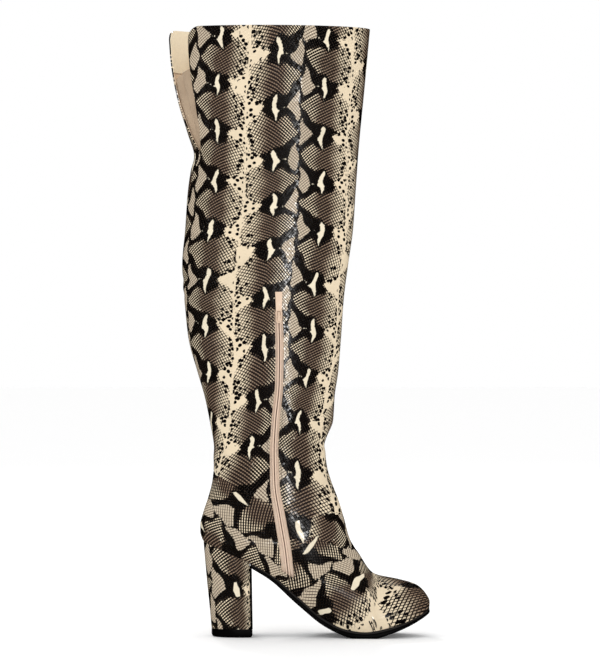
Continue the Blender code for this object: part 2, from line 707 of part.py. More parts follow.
def footprint_centre(objects):
    """The middle of the objects' common box in X and Y."""
    bpy.context.view_layer.update()
    graph = bpy.context.evaluated_depsgraph_get()
    corners = []
    for obj in objects:
        evaluated = obj.evaluated_get(graph)
        mesh = evaluated.to_mesh()
        corners.extend(evaluated.matrix_world @ vert.co for vert in mesh.vertices)
        evaluated.to_mesh_clear()
    corners = np.array(corners)
    return (corners.min(axis=0) + corners.max(axis=0))[:2] / 2


def main():
    for obj in list(bpy.data.objects):
        bpy.data.objects.remove(obj)
    boot = bpy.data.collections.new("thigh_high_boot")
    cutters = bpy.data.collections.new("helpers")
    bpy.context.scene.collection.children.link(boot)
    bpy.context.scene.collection.children.link(cutters)

    print_leather = material("print_leather", (0.36, 0.30, 0.23), 0.35)
    elastic = material("tan_elastic", (0.60, 0.45, 0.32), 0.85)
    sock = material("sock", (0.66, 0.52, 0.40), 0.80)
    sole_black = material("sole_black", (0.012, 0.011, 0.010), 0.45)
    zip_cloth = material("zip_cloth", (0.66, 0.48, 0.35), 0.75)
    zip_enamel = material("zip_enamel", (0.68, 0.50, 0.37), 0.35, 0.2)

    form = BootForm()
    parts = [
        make_upper(form, print_leather, boot),
        make_gore(form, elastic, boot),
        make_insole(form, sock, boot),
        make_outsole(form, sole_black, boot),
        make_heel(print_leather, boot),
        make_top_lift(sole_black, boot),
        make_breast_flap(sole_black, boot),
        make_zip_strip("zip_tape", form, WALL + TAPE_GAP, TAPE_THICK,
                       lambda way: form.zip_half_width(way) + TAPE_LAP, TAPE_LAP, zip_cloth, boot),
        make_zip_strip("zip_coil", form, COIL_DEPTH, COIL_THICK,
                       lambda way: COIL_HALF_WIDTH, -COIL_SHORT, zip_cloth, boot),
        make_slider(form, zip_enamel, boot, cutters),
        make_pull_tab(form, zip_enamel, boot),
    ]
    centre_x, centre_y = footprint_centre(parts)
    stand = bpy.data.objects.new("boot_stand", None)
    boot.objects.link(stand)
    stand.location = (-centre_x, -centre_y, 0.0)
    for part in [*parts, *cutters.objects]:
        part.parent = stand


if __name__ == "__main__":
    main()
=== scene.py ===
"""Looks of the left thigh-high boot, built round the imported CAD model.

Lengths are millimetres in the part's own tables: X forward from the back of the heel counter, Y to the
wearer's left, so that the zip side is -Y, and Z up from the floor. Meshes are written in metres in the
model's frame.
"""

import logging
import math
from collections.abc import Callable, Sequence
from dataclasses import dataclass
from enum import Enum

import bpy
import numpy as np
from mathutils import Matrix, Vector

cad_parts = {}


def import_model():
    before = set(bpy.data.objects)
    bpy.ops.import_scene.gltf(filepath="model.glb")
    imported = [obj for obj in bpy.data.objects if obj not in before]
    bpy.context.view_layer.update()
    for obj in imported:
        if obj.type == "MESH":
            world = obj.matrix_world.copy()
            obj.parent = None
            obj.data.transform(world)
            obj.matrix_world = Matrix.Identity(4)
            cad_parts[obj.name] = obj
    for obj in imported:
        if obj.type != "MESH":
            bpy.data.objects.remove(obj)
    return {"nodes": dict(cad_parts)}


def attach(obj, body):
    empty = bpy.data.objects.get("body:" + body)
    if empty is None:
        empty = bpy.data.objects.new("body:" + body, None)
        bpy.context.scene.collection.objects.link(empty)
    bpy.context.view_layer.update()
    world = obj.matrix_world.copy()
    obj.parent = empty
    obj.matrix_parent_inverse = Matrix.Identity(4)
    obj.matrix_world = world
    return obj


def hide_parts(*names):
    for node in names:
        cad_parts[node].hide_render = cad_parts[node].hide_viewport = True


LOG = logging.getLogger("boot")
MM = 0.001
# Millimetres of cloth to one unit of its UV map
UV_MM = 100.0
# From the tables' origin to the model's, in millimetres
STAND = np.array([-100.562, -0.016, 0.0])
BOOT_BODY = "boot"
TAB_BODY = "pull_tab"
# Degrees over which an edge stays sharp, on hard, moulded and soft pieces
HARD_EDGE, MOULDED_EDGE, SOFT_EDGE = 40.0, 50.0, 60.0
# How much smoother the raised threads of a cloth are
THREAD_GLOSS = 0.1
WHITE = (1.0, 1.0, 1.0)
Colour = tuple[float, float, float]
Span = tuple[float, float]
Point = tuple[float, float]
# Cells in a metre, and detail
Noise = tuple[float, float]
Table = tuple[tuple[float, ...], ...]
Place = tuple[float, float, float]
Pair = tuple[np.ndarray, np.ndarray]
Piece = bpy.types.Object
Material = bpy.types.Material


class Side(Enum):
    """The two sides of the boot, as the sign of Y."""

    ZIP = -1
    OUTER = 1


def srgb(red: int, green: int, blue: int) -> Colour:
    """A display colour as linear light."""
    shares = [value / 255 for value in (red, green, blue)]
    return tuple(s / 12.92 if s <= 0.04045 else ((s + 0.055) / 1.055) ** 2.4 for s in shares)


def smooth_curve(knots: Sequence[float], values: np.ndarray, places: np.ndarray) -> np.ndarray:
    """Values on a curve through the knots that doesn't overshoot between them.

    Args:
        knots: Places where the values are known, in any order.
        values: One value for each knot, or one row of values with a column for each place.
        places: Where to read the curve.

    Returns:
        The values at the places, in their shape.
    """
    knots = np.asarray(knots, float)
    order = np.argsort(knots)
    knots = knots[order]
    curves = np.asarray(values, float)[order].reshape(len(knots), -1)
    flat = np.clip(np.ravel(places), knots[0], knots[-1])
    column = np.arange(flat.size) if curves.shape[1] > 1 else np.zeros(flat.size, int)
    steps = np.diff(knots)
    rises = np.diff(curves, axis=0) / steps[:, None]
    slopes = np.zeros_like(curves)
    slopes[0], slopes[-1] = rises[0], rises[-1]
    for i in range(1, len(knots) - 1):
        before, after = 2 * steps[i] + steps[i - 1], steps[i] + 2 * steps[i - 1]
        same = rises[i - 1] * rises[i] > 0
        lower, upper = np.where(same, rises[i - 1], 1.0), np.where(same, rises[i], 1.0)
        slopes[i] = np.where(same, (before + after) / (before / lower + after / upper), 0.0)
    low = np.clip(np.searchsorted(knots, flat, side="right") - 1, 0, len(steps) - 1)
    share = (flat - knots[low]) / steps[low]
    rest = 1 - share
    start = curves[low, column] * (1 + 2 * share) * rest ** 2
    end = curves[low + 1, column] * share * share * (3 - 2 * share)
    leaving = slopes[low, column] * share * rest ** 2
    reaching = slopes[low + 1, column] * share * share * rest
    return (start + end + steps[low] * (leaving - reaching)).reshape(np.shape(places))


def eased(values: np.ndarray, low: float, high: float) -> np.ndarray:
    """A smooth step from 0 at low to 1 at high."""
    share = np.clip((values - low) / (high - low), 0, 1)
    return share * share * (3 - 2 * share)


def row_lengths(points: np.ndarray) -> np.ndarray:
    """Distance of each point along its row from the row's first point."""
    steps = np.linalg.norm(np.diff(points, axis=1), axis=2)
    return np.concatenate([np.zeros((len(points), 1)), np.cumsum(steps, axis=1)], axis=1)


@dataclass
class BootForm:
    """The outer face of the upper, from the sections that the part is made of.

    The way is 0 at the collar and counts millimetres down. The angle is 0 at the back, minus pi to plus pi
    at the front, and negative on the zip side.
    """

    wall: float = 1.5
    shaft: Table = (
        (610.0, -34.0, 171.0, 104.0), (577.0, -30.0, 168.0, 102.0), (540.0, -23.0, 164.5, 98.0),
        (505.0, -12.5, 161.0, 94.0), (482.0, -6.0, 159.0, 92.0), (467.0, -9.5, 158.0, 92.0),
        (445.0, -12.5, 156.5, 92.0), (409.0, -15.0, 154.0, 90.0), (373.0, -18.0, 149.0, 88.0),
        (337.0, -15.5, 144.5, 86.0), (301.0, -12.0, 142.0, 84.0), (265.0, -2.5, 139.0, 82.0),
        (241.0, 4.5, 135.5, 80.0), (217.0, 9.5, 134.0, 77.0), (193.0, 13.5, 126.0, 73.0),
        (175.0, 14.0, 126.8, 70.0), (157.0, 12.5, 131.5, 68.0),
    )
    foot: Table = (
        (8.0, 139.0, 138.0, 140.0, 0.00, 20.0, 25.0, 33.5, 33.5, 31.0, 31.0, 22.0),
        (3.0, 124.0, 144.5, 120.0, 0.04, 23.0, 27.5, 34.0, 34.0, 32.0, 32.0, 23.0),
        (0.2, 112.0, 150.5, 98.0, 0.12, 25.0, 29.0, 33.5, 34.0, 33.0, 33.0, 24.0),
        (0.2, 105.0, 160.0, 82.5, 0.27, 26.0, 30.0, 32.5, 33.8, 34.0, 34.0, 25.0),
        (1.0, 101.0, 175.5, 62.4, 0.38, 26.5, 30.0, 31.5, 33.4, 36.0, 36.5, 26.0),
        (1.8, 98.6, 200.0, 56.8, 0.61, 27.0, 29.5, 30.5, 32.8, 39.0, 40.0, 28.0),
        (2.4, 97.0, 217.0, 51.8, 0.82, 27.0, 29.0, 29.5, 32.2, 41.0, 42.0, 29.0),
        (2.9, 96.2, 227.3, 42.2, 0.94, 27.0, 28.5, 28.5, 31.6, 41.5, 42.5, 29.0),
        (3.5, 95.5, 231.0, 34.0, 0.99, 27.0, 28.0, 27.5, 31.0, 40.5, 41.5, 28.5),
        (4.0, 95.0, 230.5, 27.7, 1.00, 26.5, 27.0, 26.0, 29.6, 38.5, 39.5, 27.0),
    )
    foot_columns: tuple[str, ...] = ("back_x", "back_z", "front_x", "front_z", "sag", "back_r", "heel",
                                     "waist_in", "waist_out", "ball_in", "ball_out", "front_r")
    width_places: tuple[float, ...] = (0.15, 0.45, 0.70)
    toe_swing: float = 5.0
    swing_from: float = 100.0
    feather: Table = ((4.0, 95.0), (28.0, 84.5), (49.0, 74.7), (70.0, 63.3), (97.0, 41.0), (123.0, 19.4),
                      (145.0, 9.0), (164.0, 6.4), (188.0, 10.6), (213.0, 19.0), (230.5, 27.7))
    tread: Table = ((50.0, 70.0), (70.0, 57.5), (97.0, 33.0), (123.0, 12.0), (139.0, 4.0), (152.0, 0.0),
                    (174.0, 0.0), (189.0, 4.0), (207.0, 11.0), (224.0, 19.6), (232.5, 24.6))
    slit: Table = ((610.0, -31.0, 8.0), (537.0, -28.0, -2.0), (507.0, -24.5, -8.0), (487.0, -18.5, -14.5))
    slit_relaxed: float = 0.45
    slit_relax_length: float = 85.0
    zip: Table = ((330.0, 77.7, 4.2), (288.0, 78.9, 4.2), (255.0, 78.5, 4.2), (215.0, 74.9, 4.2),
                  (187.0, 73.6, 4.3), (154.0, 74.4, 4.8), (121.0, 79.4, 5.6), (88.0, 84.8, 5.9),
                  (62.0, 87.6, 5.8))
    zip_top: float = 328.0
    zip_bottom: float = 63.0
    normal_step: float = 0.01
    search_from: float = 0.6
    search_steps: int = 12
    search_margin: float = 0.001
    zip_steps: int = 200
    slit_steps: int = 60

    def __post_init__(self) -> None:
        """Joins the shaft's level ellipses and the foot's sections into one table."""
        rows = []
        for height, back, front, depth in self.shaft:
            end = depth * depth / (2 * (front - back))
            heel, waist, ball = (depth * math.sqrt(s * (1 - s)) for s in self.width_places)
            rows.append((back, height, front, height, 0.0, end, heel, waist, waist, ball, ball, end))
        rows = np.array(rows + list(self.foot), float)
        back_step = np.hypot(*np.diff(rows[:, 0:2], axis=0).T)
        front_step = np.hypot(*np.diff(rows[:, 2:4], axis=0).T)
        step = (back_step + front_step) / 2
        shaft_steps = -np.diff([row[0] for row in self.shaft])
        step[: len(shaft_steps)] = shaft_steps
        self.ways = np.concatenate([[0.0], np.cumsum(step)])
        self.table = dict(zip(self.foot_columns, rows.T))
        self.length = float(self.ways[-1])
        self.ankle = float(self.ways[len(self.shaft) - 1])
        self.collar = self.shaft[0][0]
        self.slit_end = self.collar - self.slit[-1][0]

    def feather_height(self, x: np.ndarray) -> np.ndarray:
        """Height of the feather line at X."""
        return smooth_curve(*zip(*self.feather), x)

    def tread_height(self, x: np.ndarray) -> np.ndarray:
        """Height of the tread at X."""
        return smooth_curve(*zip(*self.tread), x)

    def swing(self, x: np.ndarray) -> np.ndarray:
        """How far the middle of the foot is swung to the zip side at X."""
        reach = self.feather[-1][0] - self.swing_from
        return self.toe_swing * np.clip((x - self.swing_from) / reach, 0, 1) ** 2

    def sections(self, ways: np.ndarray) -> dict[str, np.ndarray]:
        """The measures of the sections at some ways."""
        return {name: smooth_curve(self.ways, values, ways) for name, values in self.table.items()}

    def height(self, row: dict[str, np.ndarray], share: np.ndarray) -> np.ndarray:
        """Height of a section at a share of its length: its foot part sags as the feather line does."""
        (back_x, back_z), (front_x, front_z) = self.feather[0], self.feather[-1]
        straight = back_z + (front_z - back_z) * share
        arch = self.feather_height(back_x + (front_x - back_x) * share) - straight
        return row["back_z"] + (row["front_z"] - row["back_z"]) * share + row["sag"] * arch

    def at(self, ways: np.ndarray, angles: np.ndarray) -> np.ndarray:
        """Points of the outer face.

        Args:
            ways: How far down the boot each point is.
            angles: Where round the boot each point is, in the same shape.

        Returns:
            The points in millimetres, with X, Y and Z on the last axis.
        """
        ways, angles = np.broadcast_arrays(np.asarray(ways, float), np.asarray(angles, float))
        angles = np.mod(angles + math.pi, 2 * math.pi) - math.pi
        row = self.sections(ways)
        share = (1 - np.cos(angles)) / 2
        length = row["front_x"] - row["back_x"]
        x = row["back_x"] + length * share
        inner, outer = (self.half_width(row, length, share, side) for side in ("in", "out"))
        y = np.sign(angles) * np.where(angles < 0, inner, outer) - self.swing(x)
        return np.stack([x, y, self.height(row, share)], axis=-1)

    def half_width(self, row: dict[str, np.ndarray], length: np.ndarray, share: np.ndarray,
                   side: str) -> np.ndarray:
        """Half width of a section: round at both ends, through the widths at heel, waist and ball.

        Args:
            row: Measures of the sections.
            length: Their lengths.
            share: Where along them, from 0 at the back to 1 at the front.
            side: Which half, in or out.

        Returns:
            The half widths.
        """
        widths = (row["heel"], row["waist_" + side], row["ball_" + side])
        full = [w * w / (s * (1 - s)) for w, s in zip(widths, self.width_places)]
        ends = [2 * length * row[name] for name in ("back_r", "front_r")]
        full = np.stack([np.ravel(values) for values in (ends[0], *full, ends[1])])
        return np.sqrt(share * (1 - share) * smooth_curve((0.0, *self.width_places, 1.0), full, share))

    def outward(self, ways: np.ndarray, angles: np.ndarray) -> np.ndarray:
        """Unit normals of the outer face."""
        round_it = self.at(ways, angles + self.normal_step) - self.at(ways, angles - self.normal_step)
        down = self.at(ways + 1, angles) - self.at(ways - 1, angles)
        normal = np.cross(round_it, down)
        return normal / np.linalg.norm(normal, axis=-1, keepdims=True)

    def line_angle(self, ways: np.ndarray, x_of_height: Callable[[np.ndarray], np.ndarray]) -> np.ndarray:
        """Angle on the zip side of a line drawn on the boot seen from the side.

        Args:
            ways: The sections to cross.
            x_of_height: The line's X at a height.

        Returns:
            The angle at which the line crosses each section.
        """
        row = self.sections(ways)
        share = np.full(np.shape(ways), self.search_from)
        for _ in range(self.search_steps):
            x = x_of_height(self.height(row, share))
            share = (x - row["back_x"]) / (row["front_x"] - row["back_x"])
            share = np.clip(share, self.search_margin, 1 - self.search_margin)
        return -np.arccos(1 - 2 * share)

    def zip_angle(self, ways: np.ndarray, offset: np.ndarray) -> np.ndarray:
        """Angle of a line that keeps an offset in X from the middle of the zip, plus forward."""
        heights, middles, _ = zip(*self.zip)
        return self.line_angle(ways, lambda height: smooth_curve(heights, middles, height) + offset)

    def zip_height(self, ways: np.ndarray) -> np.ndarray:
        """Height of the zip's middle line where it crosses each section."""
        return self.at(ways, self.zip_angle(ways, 0.0))[..., 2]

    def zip_way(self, height: float) -> float:
        """The way at which the zip's middle line has a height."""
        ways = np.linspace(self.collar - self.zip[0][0], self.length, self.zip_steps)
        return float(np.interp(-height, -self.zip_height(ways), ways))

    def zip_ends(self, past: float = 0.0) -> Span:
        """Ways of the two ends of the zip's cut, or of places past them."""
        return self.zip_way(self.zip_top) - past, self.zip_way(self.zip_bottom) + past

    def zip_half_width(self, ways: np.ndarray) -> np.ndarray:
        """Half the width of the zip's cut at each way."""
        heights, _, halves = zip(*self.zip)
        return smooth_curve(heights, halves, self.zip_height(ways))

    def slit_angles(self, way: float) -> Span:
        """Angles of the slit's near and far edges; below the slit they part to their relaxed places.

        Args:
            way: How far down the boot.

        Returns:
            The near and the far angle.
        """
        held = min(way, self.slit_end)
        heights, *edges = zip(*self.slit)
        wide = np.linspace(0, math.pi / 2, self.slit_steps)
        half_widths = self.at(np.full(self.slit_steps, held), wide)[:, 1]
        ease = min(max((way - self.slit_end) / self.slit_relax_length, 0), 1)
        angles = []
        for edge, relaxed in zip(edges, (-self.slit_relaxed, self.slit_relaxed)):
            y = float(np.interp(self.collar - held, heights[::-1], edge[::-1]))
            angle = math.copysign(float(np.interp(abs(y), half_widths, wide)), y)
            angles.append(angle + (relaxed - angle) * ease)
        return tuple(angles)


class Value:
    """A shader value that can stand in a Python expression."""

    def __init__(self, painter: "Painter", socket: bpy.types.NodeSocket) -> None:
        """Keeps the socket and the painter whose tree it is in."""
        self.painter = painter
        self.socket = socket

    def math(self, operation: str, *others: "Value | float") -> "Value":
        """A Math node on this value and others."""
        return self.painter.math(operation, self, *others)

    def __add__(self, other: "Value | float") -> "Value":
        """Sum."""
        return self.math("ADD", other)

    def __radd__(self, other: float) -> "Value":
        """Sum with a number first."""
        return self.math("ADD", other)

    def __sub__(self, other: "Value | float") -> "Value":
        """Difference."""
        return self.math("SUBTRACT", other)

    def __rsub__(self, other: float) -> "Value":
        """Difference with a number first."""
        return self.painter.math("SUBTRACT", other, self)

    def __mul__(self, other: "Value | float") -> "Value":
        """Product."""
        return self.math("MULTIPLY", other)

    def __rmul__(self, other: float) -> "Value":
        """Product with a number first."""
        return self.math("MULTIPLY", other)

    def __abs__(self) -> "Value":
        """Size without sign."""
        return self.math("ABSOLUTE")

    def wave(self) -> "Value":
        """0 at whole numbers and 1 half-way between them."""
        return abs((self * math.pi).math("SINE"))


class Painter:
    """Builds the node tree of one material."""

    def __init__(self, name: str) -> None:
        """Starts a material with a Principled shader."""
        self.material = bpy.data.materials.new(name)
        self.material.use_nodes = True
        self.tree = self.material.node_tree
        self.shader = self.tree.nodes["Principled BSDF"]

    def node(self, kind: str, settings: dict | None = None, inputs: dict | None = None,
             output: int = 0) -> Value:
        """Adds a node.

        Args:
            kind: The node's type.
            settings: Properties to set before its sockets are fed.
            inputs: Values or links for its sockets, by name or number.
            output: Which of its outputs to return.

        Returns:
            The output as a value.
        """
        made = self.tree.nodes.new(kind)
        for name, value in (settings or {}).items():
            setattr(made, name, value)
        for key, value in (inputs or {}).items():
            self.feed(made.inputs[key], value)
        return Value(self, made.outputs[output])

    def feed(self, socket: bpy.types.NodeSocket, value: "Value | float | Sequence[float]") -> None:
        """Links a value to a socket, or sets a constant on it.

        Args:
            socket: The socket.
            value: A value to link, or a number or colour.
        """
        if isinstance(value, Value):
            self.tree.links.new(value.socket, socket)
        elif socket.type == "RGBA":
            socket.default_value = (*value, 1.0)
        else:
            socket.default_value = value

    def dress(self, **sockets: "Value | float | Sequence[float]") -> Material:
        """Feeds the Principled shader's sockets, named with underscores, and returns the material."""
        for name, value in sockets.items():
            self.feed(self.shader.inputs[name.replace("_", " ").title().replace("Ior", "IOR")], value)
        return self.material

    def math(self, operation: str, *values: "Value | float") -> Value:
        """A Math node on some values or numbers."""
        return self.node("ShaderNodeMath", {"operation": operation}, dict(enumerate(values)))

    def mix(self, share: "Value | float", first: "Value | Colour", second: "Value | Colour") -> Value:
        """A colour between two, by a share."""
        return self.node("ShaderNodeMix", {"data_type": "RGBA"}, {0: share, 6: first, 7: second}, output=2)

    def step(self, value: Value, low: float, high: float) -> Value:
        """A smooth step from 0 at low to 1 at high; low may be the larger."""
        inputs = {"Value": value, "From Min": low, "From Max": high}
        return self.node("ShaderNodeMapRange", {"interpolation_type": "SMOOTHSTEP"}, inputs)

    def parts(self, vector: Value) -> tuple[Value, Value, Value]:
        """The three numbers of a vector."""
        split = self.node("ShaderNodeSeparateXYZ", None, {0: vector})
        return tuple(Value(self, socket) for socket in split.socket.node.outputs)

    def attribute(self, name: str) -> tuple[Value, Value, Value]:
        """The three numbers of a vector attribute of the mesh."""
        return self.parts(self.node("ShaderNodeAttribute", {"attribute_name": name}, output=1))

    def surface_uv(self, name: str) -> tuple[Value, Value, Value]:
        """The coordinates of a UV map."""
        return self.parts(self.node("ShaderNodeUVMap", {"uv_map": name}))

    def noise(self, scale: float, detail: float = 3.0) -> Value:
        """Soft noise between 0 and 1 on Object coordinates, with scale in cells per metre."""
        inputs = {"Vector": self.node("ShaderNodeTexCoord", output=3), "Scale": scale, "Detail": detail}
        return self.node("ShaderNodeTexNoise", {"noise_dimensions": "3D"}, inputs)

    def chance(self, *counts: Value) -> Value:
        """A number from 0 to 1 that is the same all over one cell of some counts."""
        corner = dict(enumerate(count.math("FLOOR") for count in counts))
        cell = self.node("ShaderNodeCombineXYZ", None, corner)
        return self.node("ShaderNodeTexWhiteNoise", {"noise_dimensions": "3D"}, {"Vector": cell})

    def cells(self, *places: Value) -> tuple[Value, Value]:
        """Distance to the middle of the nearest of some uneven cells, and a chance number of that cell.

        Args:
            places: Counts across and along the cells.

        Returns:
            The distance and the number.
        """
        vector = self.node("ShaderNodeCombineXYZ", None, dict(enumerate(places)))
        settings, inputs = {"voronoi_dimensions": "2D"}, {"Vector": vector, "Scale": 1.0, "Randomness": 0.8}
        distance = self.node("ShaderNodeTexVoronoi", settings, inputs)
        number, _, _ = self.parts(Value(self, distance.socket.node.outputs["Color"]))
        return distance, number

    def bump(self, height: Value, distance: float) -> Value:
        """A normal from a height, whose unit is the distance in metres."""
        inputs = {"Strength": 1.0, "Distance": distance, "Height": height}
        return self.node("ShaderNodeBump", None, inputs)


@dataclass(frozen=True)
class SnakePrint:
    """The printed repeat, charted in millimetres.

    Across runs from the zigzag strip at 0 to the cream band at half the width, and along runs down. The other
    half is its mirror image, moved by half a repeat. A wave is its turns along and across, its phase and its
    weight.
    """

    width: float = 106.0
    repeat: float = 48.5
    slit: float = 23.6
    flame: Table = ((24.4, -12.4), (26.4, -9.4), (25.9, -5.0), (25.4, -1.0), (25.9, 2.5), (25.0, 7.0),
                    (24.0, 12.6), (22.9, 9.6), (22.4, 6.0), (21.6, 3.0), (19.0, 1.4), (21.2, -0.8),
                    (22.0, -4.6), (22.4, -9.0))
    flecks: Table = ((14.6, -1.6, 0.75), (16.8, -1.0, 0.65), (19.4, 14.6, 0.7), (17.2, -16.4, 0.7))
    kite: Table = ((2.0, -19.0), (7.2, -10.6), (13.0, -1.2), (8.4, 3.8), (2.8, 9.4), (0.6, 5.6), (0.2, -2.0),
                   (0.9, -11.0))
    saddle: Table = ((1.6, 17.2), (7.6, 12.4), (14.8, 7.4), (20.0, 9.8), (23.8, 14.0), (26.6, 11.0),
                     (33.0, 8.4), (42.0, 8.8), (54.0, 12.0), (54.0, 40.0), (43.0, 40.6), (34.0, 41.0),
                     (30.0, 39.4), (26.6, 35.6), (23.4, 33.6), (19.0, 34.4), (15.2, 34.0), (8.6, 26.6),
                     (2.8, 20.8))
    cream: Table = ((54.0, -12.0), (51.0, -10.4), (50.2, -8.0), (48.0, -7.4), (45.6, -7.0), (43.6, -4.4),
                    (41.0, -2.6), (38.2, -2.8), (36.4, -0.6), (38.8, 2.0), (40.2, 5.2), (42.6, 5.6),
                    (44.4, 8.4), (47.2, 8.2), (49.0, 11.4), (51.4, 12.6), (54.0, 16.0))
    cream_line: float = 52.2
    cream_waves: Table = ((0.55, 0.0, 0.0, 0.7), (1.3, 0.0, 0.8, 0.5))
    saddle_edge: float = 36.0
    saddle_waves: Table = ((0.9, 0.0, 0.0, 1.5),)
    row_pitch: float = 3.031
    row_slope: tuple[float, float, float] = (0.3, 0.6, 24.0)
    line_pitch: float = 2.910
    line_slope: float = 0.6
    wobble: float = 1.1
    ragged: float = 0.24
    bends: Table = ((0.31, 0.07, 0.0, 1.0), (0.113, -0.19, 1.3, 0.7))
    draws: Table = ((0.05, 0.27, 0.4, 1.0), (0.17, 0.12, 2.2, 0.7))
    frays: Table = ((1.93, 0.83, 0.0, 1.0), (-1.19, 1.57, 0.7, 1.0))
    tears: Table = ((0.61, 2.11, 1.9, 1.0), (1.71, -1.37, 0.2, 1.0))
    dark_tone: float = 0.14
    rim_tone: float = 0.08
    rim_inside: Span = (-9.0, -1.0)
    rim_across: Span = (17.0, 25.0)
    paler: Table = ((0.27, 29.0, 38.0), (0.18, 38.0, 50.0))
    cream_tone: float = 1.15
    cream_rim: Span = (-1.6, 0.6)
    brown_from: Span = (12.0, 21.0)
    brown_to: Span = (31.0, 44.0)
    brown_off: Span = (0.0, 6.0)
    fringe_at: float = 0.6
    fringe_off: Span = (1.2, 2.6)
    fringe_above: Span = (0.0, 3.0)
    fringe_across: Span = (34.0, 38.0)
    spots_across: Span = (38.0, 44.0)
    spot_share: float = 0.5
    spotless: Span = (1.6, 0.4)

    @staticmethod
    def waves(table: Table, across: np.ndarray, along: np.ndarray) -> np.ndarray:
        """The sum of some waves."""
        return sum(weight * np.sin(along * down + across * over + phase)
                   for down, over, phase, weight in table)

    def fold(self, across: np.ndarray, along: np.ndarray) -> Pair:
        """Places in the charted half: across without sign, and along moved on the mirrored half."""
        turned = np.mod(across + self.width / 2, self.width) - self.width / 2
        return np.abs(turned), along + np.where(turned < 0, self.repeat / 2, 0.0)

    def uneven(self, across: np.ndarray, along: np.ndarray) -> Pair:
        """Places moved a little, so that no two repeats are quite alike."""
        bend, draw, fray, tear = (self.waves(table, across, along)
                                  for table in (self.bends, self.draws, self.frays, self.tears))
        across = across + self.wobble * bend + self.ragged * fray
        return across, along + self.wobble * draw + self.ragged * tear

    def copies(self, across: np.ndarray, along: np.ndarray) -> list[Pair]:
        """A folded place as each neighbouring copy of the charted half sees it.

        Args:
            across: Millimetres across, folded.
            along: Millimetres down, folded.

        Returns:
            The place in each copy.
        """
        half = self.repeat / 2
        seen = []
        for a, b in ((across, along), (-across, along + half), (self.width - across, along + half)):
            b = np.mod(b + half, self.repeat) - half
            seen.extend([(a, b - self.repeat), (a, b), (a, b + self.repeat)])
        return seen

    def plates(self, across: np.ndarray, along: np.ndarray) -> Pair:
        """Counts of the scale rows, which flatten towards the cream band, and of the lines across them."""
        least, more, reach = self.row_slope
        bend = least * across + more * reach * np.tanh(across / reach)
        return (along + bend) / self.row_pitch, (across - self.line_slope * along) / self.line_pitch

    @staticmethod
    def to_shape(across: np.ndarray, along: np.ndarray, corners: Table) -> np.ndarray:
        """Signed distance to a closed shape, negative inside.

        Args:
            across: Where to measure, across.
            along: Where to measure, down.
            corners: The shape's corners.

        Returns:
            The distance of each place.
        """
        nearest = np.full(across.shape, np.inf)
        inside = np.zeros(across.shape, bool)
        for (x0, y0), (x1, y1) in zip(corners, corners[1:] + corners[:1]):
            run, rise = x1 - x0, y1 - y0
            share = ((across - x0) * run + (along - y0) * rise) / (run * run + rise * rise)
            share = np.clip(share, 0, 1)
            nearest = np.minimum(nearest, np.hypot(across - x0 - share * run, along - y0 - share * rise))
            if rise:
                inside ^= ((y0 > along) != (y1 > along)) & (across < x0 + run * (along - y0) / rise)
        return np.where(inside, -nearest, nearest)

    @staticmethod
    def to_rounds(across: np.ndarray, along: np.ndarray, rounds: Table) -> np.ndarray:
        """Signed distance to the nearest of some small rounds."""
        return np.minimum.reduce([np.hypot(across - x, along - y) - r for x, y, r in rounds])

    def distances(self, across: np.ndarray, along: np.ndarray) -> dict[str, np.ndarray]:
        """Signed distances from folded places to the printed shapes.

        Args:
            across: Millimetres across, folded.
            along: Millimetres down, folded.

        Returns:
            The distances by the shape's name.
        """
        nearest = {}
        for a, b in self.copies(across, along):
            found = {name: self.to_shape(a, b, getattr(self, name)) for name in ("kite", "saddle", "cream")}
            found["light"] = np.minimum(self.to_shape(a, b, self.flame), self.to_rounds(a, b, self.flecks))
            nearest = {name: np.minimum(nearest.get(name, np.inf), far) for name, far in found.items()}
        line = self.cream_line + self.waves(self.cream_waves, across, along)
        nearest["cream"] = np.minimum(nearest["cream"], line - across)
        return nearest

    def chart(self, across: np.ndarray, along: np.ndarray) -> Pair:
        """What is printed at each place.

        Args:
            across: Millimetres across the repeat.
            along: Millimetres down the repeat.

        Returns:
            Two arrays of three numbers for each place: distances to the light flames and the zigzag pieces,
            and the share of black scales; then the distance inside the black ground's edge, the tone from
            dark to cream and the brownness.
        """
        a, b = self.fold(*self.uneven(across, along))
        shapes = self.distances(a, b)
        cream = shapes["cream"]
        ground = np.maximum(-shapes["saddle"], a - self.saddle_edge - self.waves(self.saddle_waves, a, b))
        rim = eased(shapes["saddle"], *self.rim_inside) * (1 - eased(a, *self.rim_across))
        tone = self.dark_tone + self.rim_tone * rim
        for more, low, high in self.paler:
            tone = tone + more * eased(a, low, high)
        tone = tone + (self.cream_tone - tone) * eased(-cream, *self.cream_rim)
        brown = eased(a, *self.brown_from) * (1 - eased(a, *self.brown_to)) * eased(cream, *self.brown_off)
        level = np.mod(b + self.repeat / 2, self.repeat) - self.repeat / 2
        fringe = 1 - eased(np.abs(cream - self.fringe_at), *self.fringe_off)
        fringe = fringe * eased(-level, *self.fringe_above) * eased(a, *self.fringe_across)
        unbent, _ = self.fold(across, along)
        spotted = 1 - eased(unbent, *(self.width / 2 - off for off in self.spotless))
        spots = self.spot_share * (eased(a, *self.spots_across) + fringe) * spotted
        first = np.stack([shapes["light"], shapes["kite"], spots], axis=-1)
        return first, np.stack([ground, tone, brown], axis=-1)


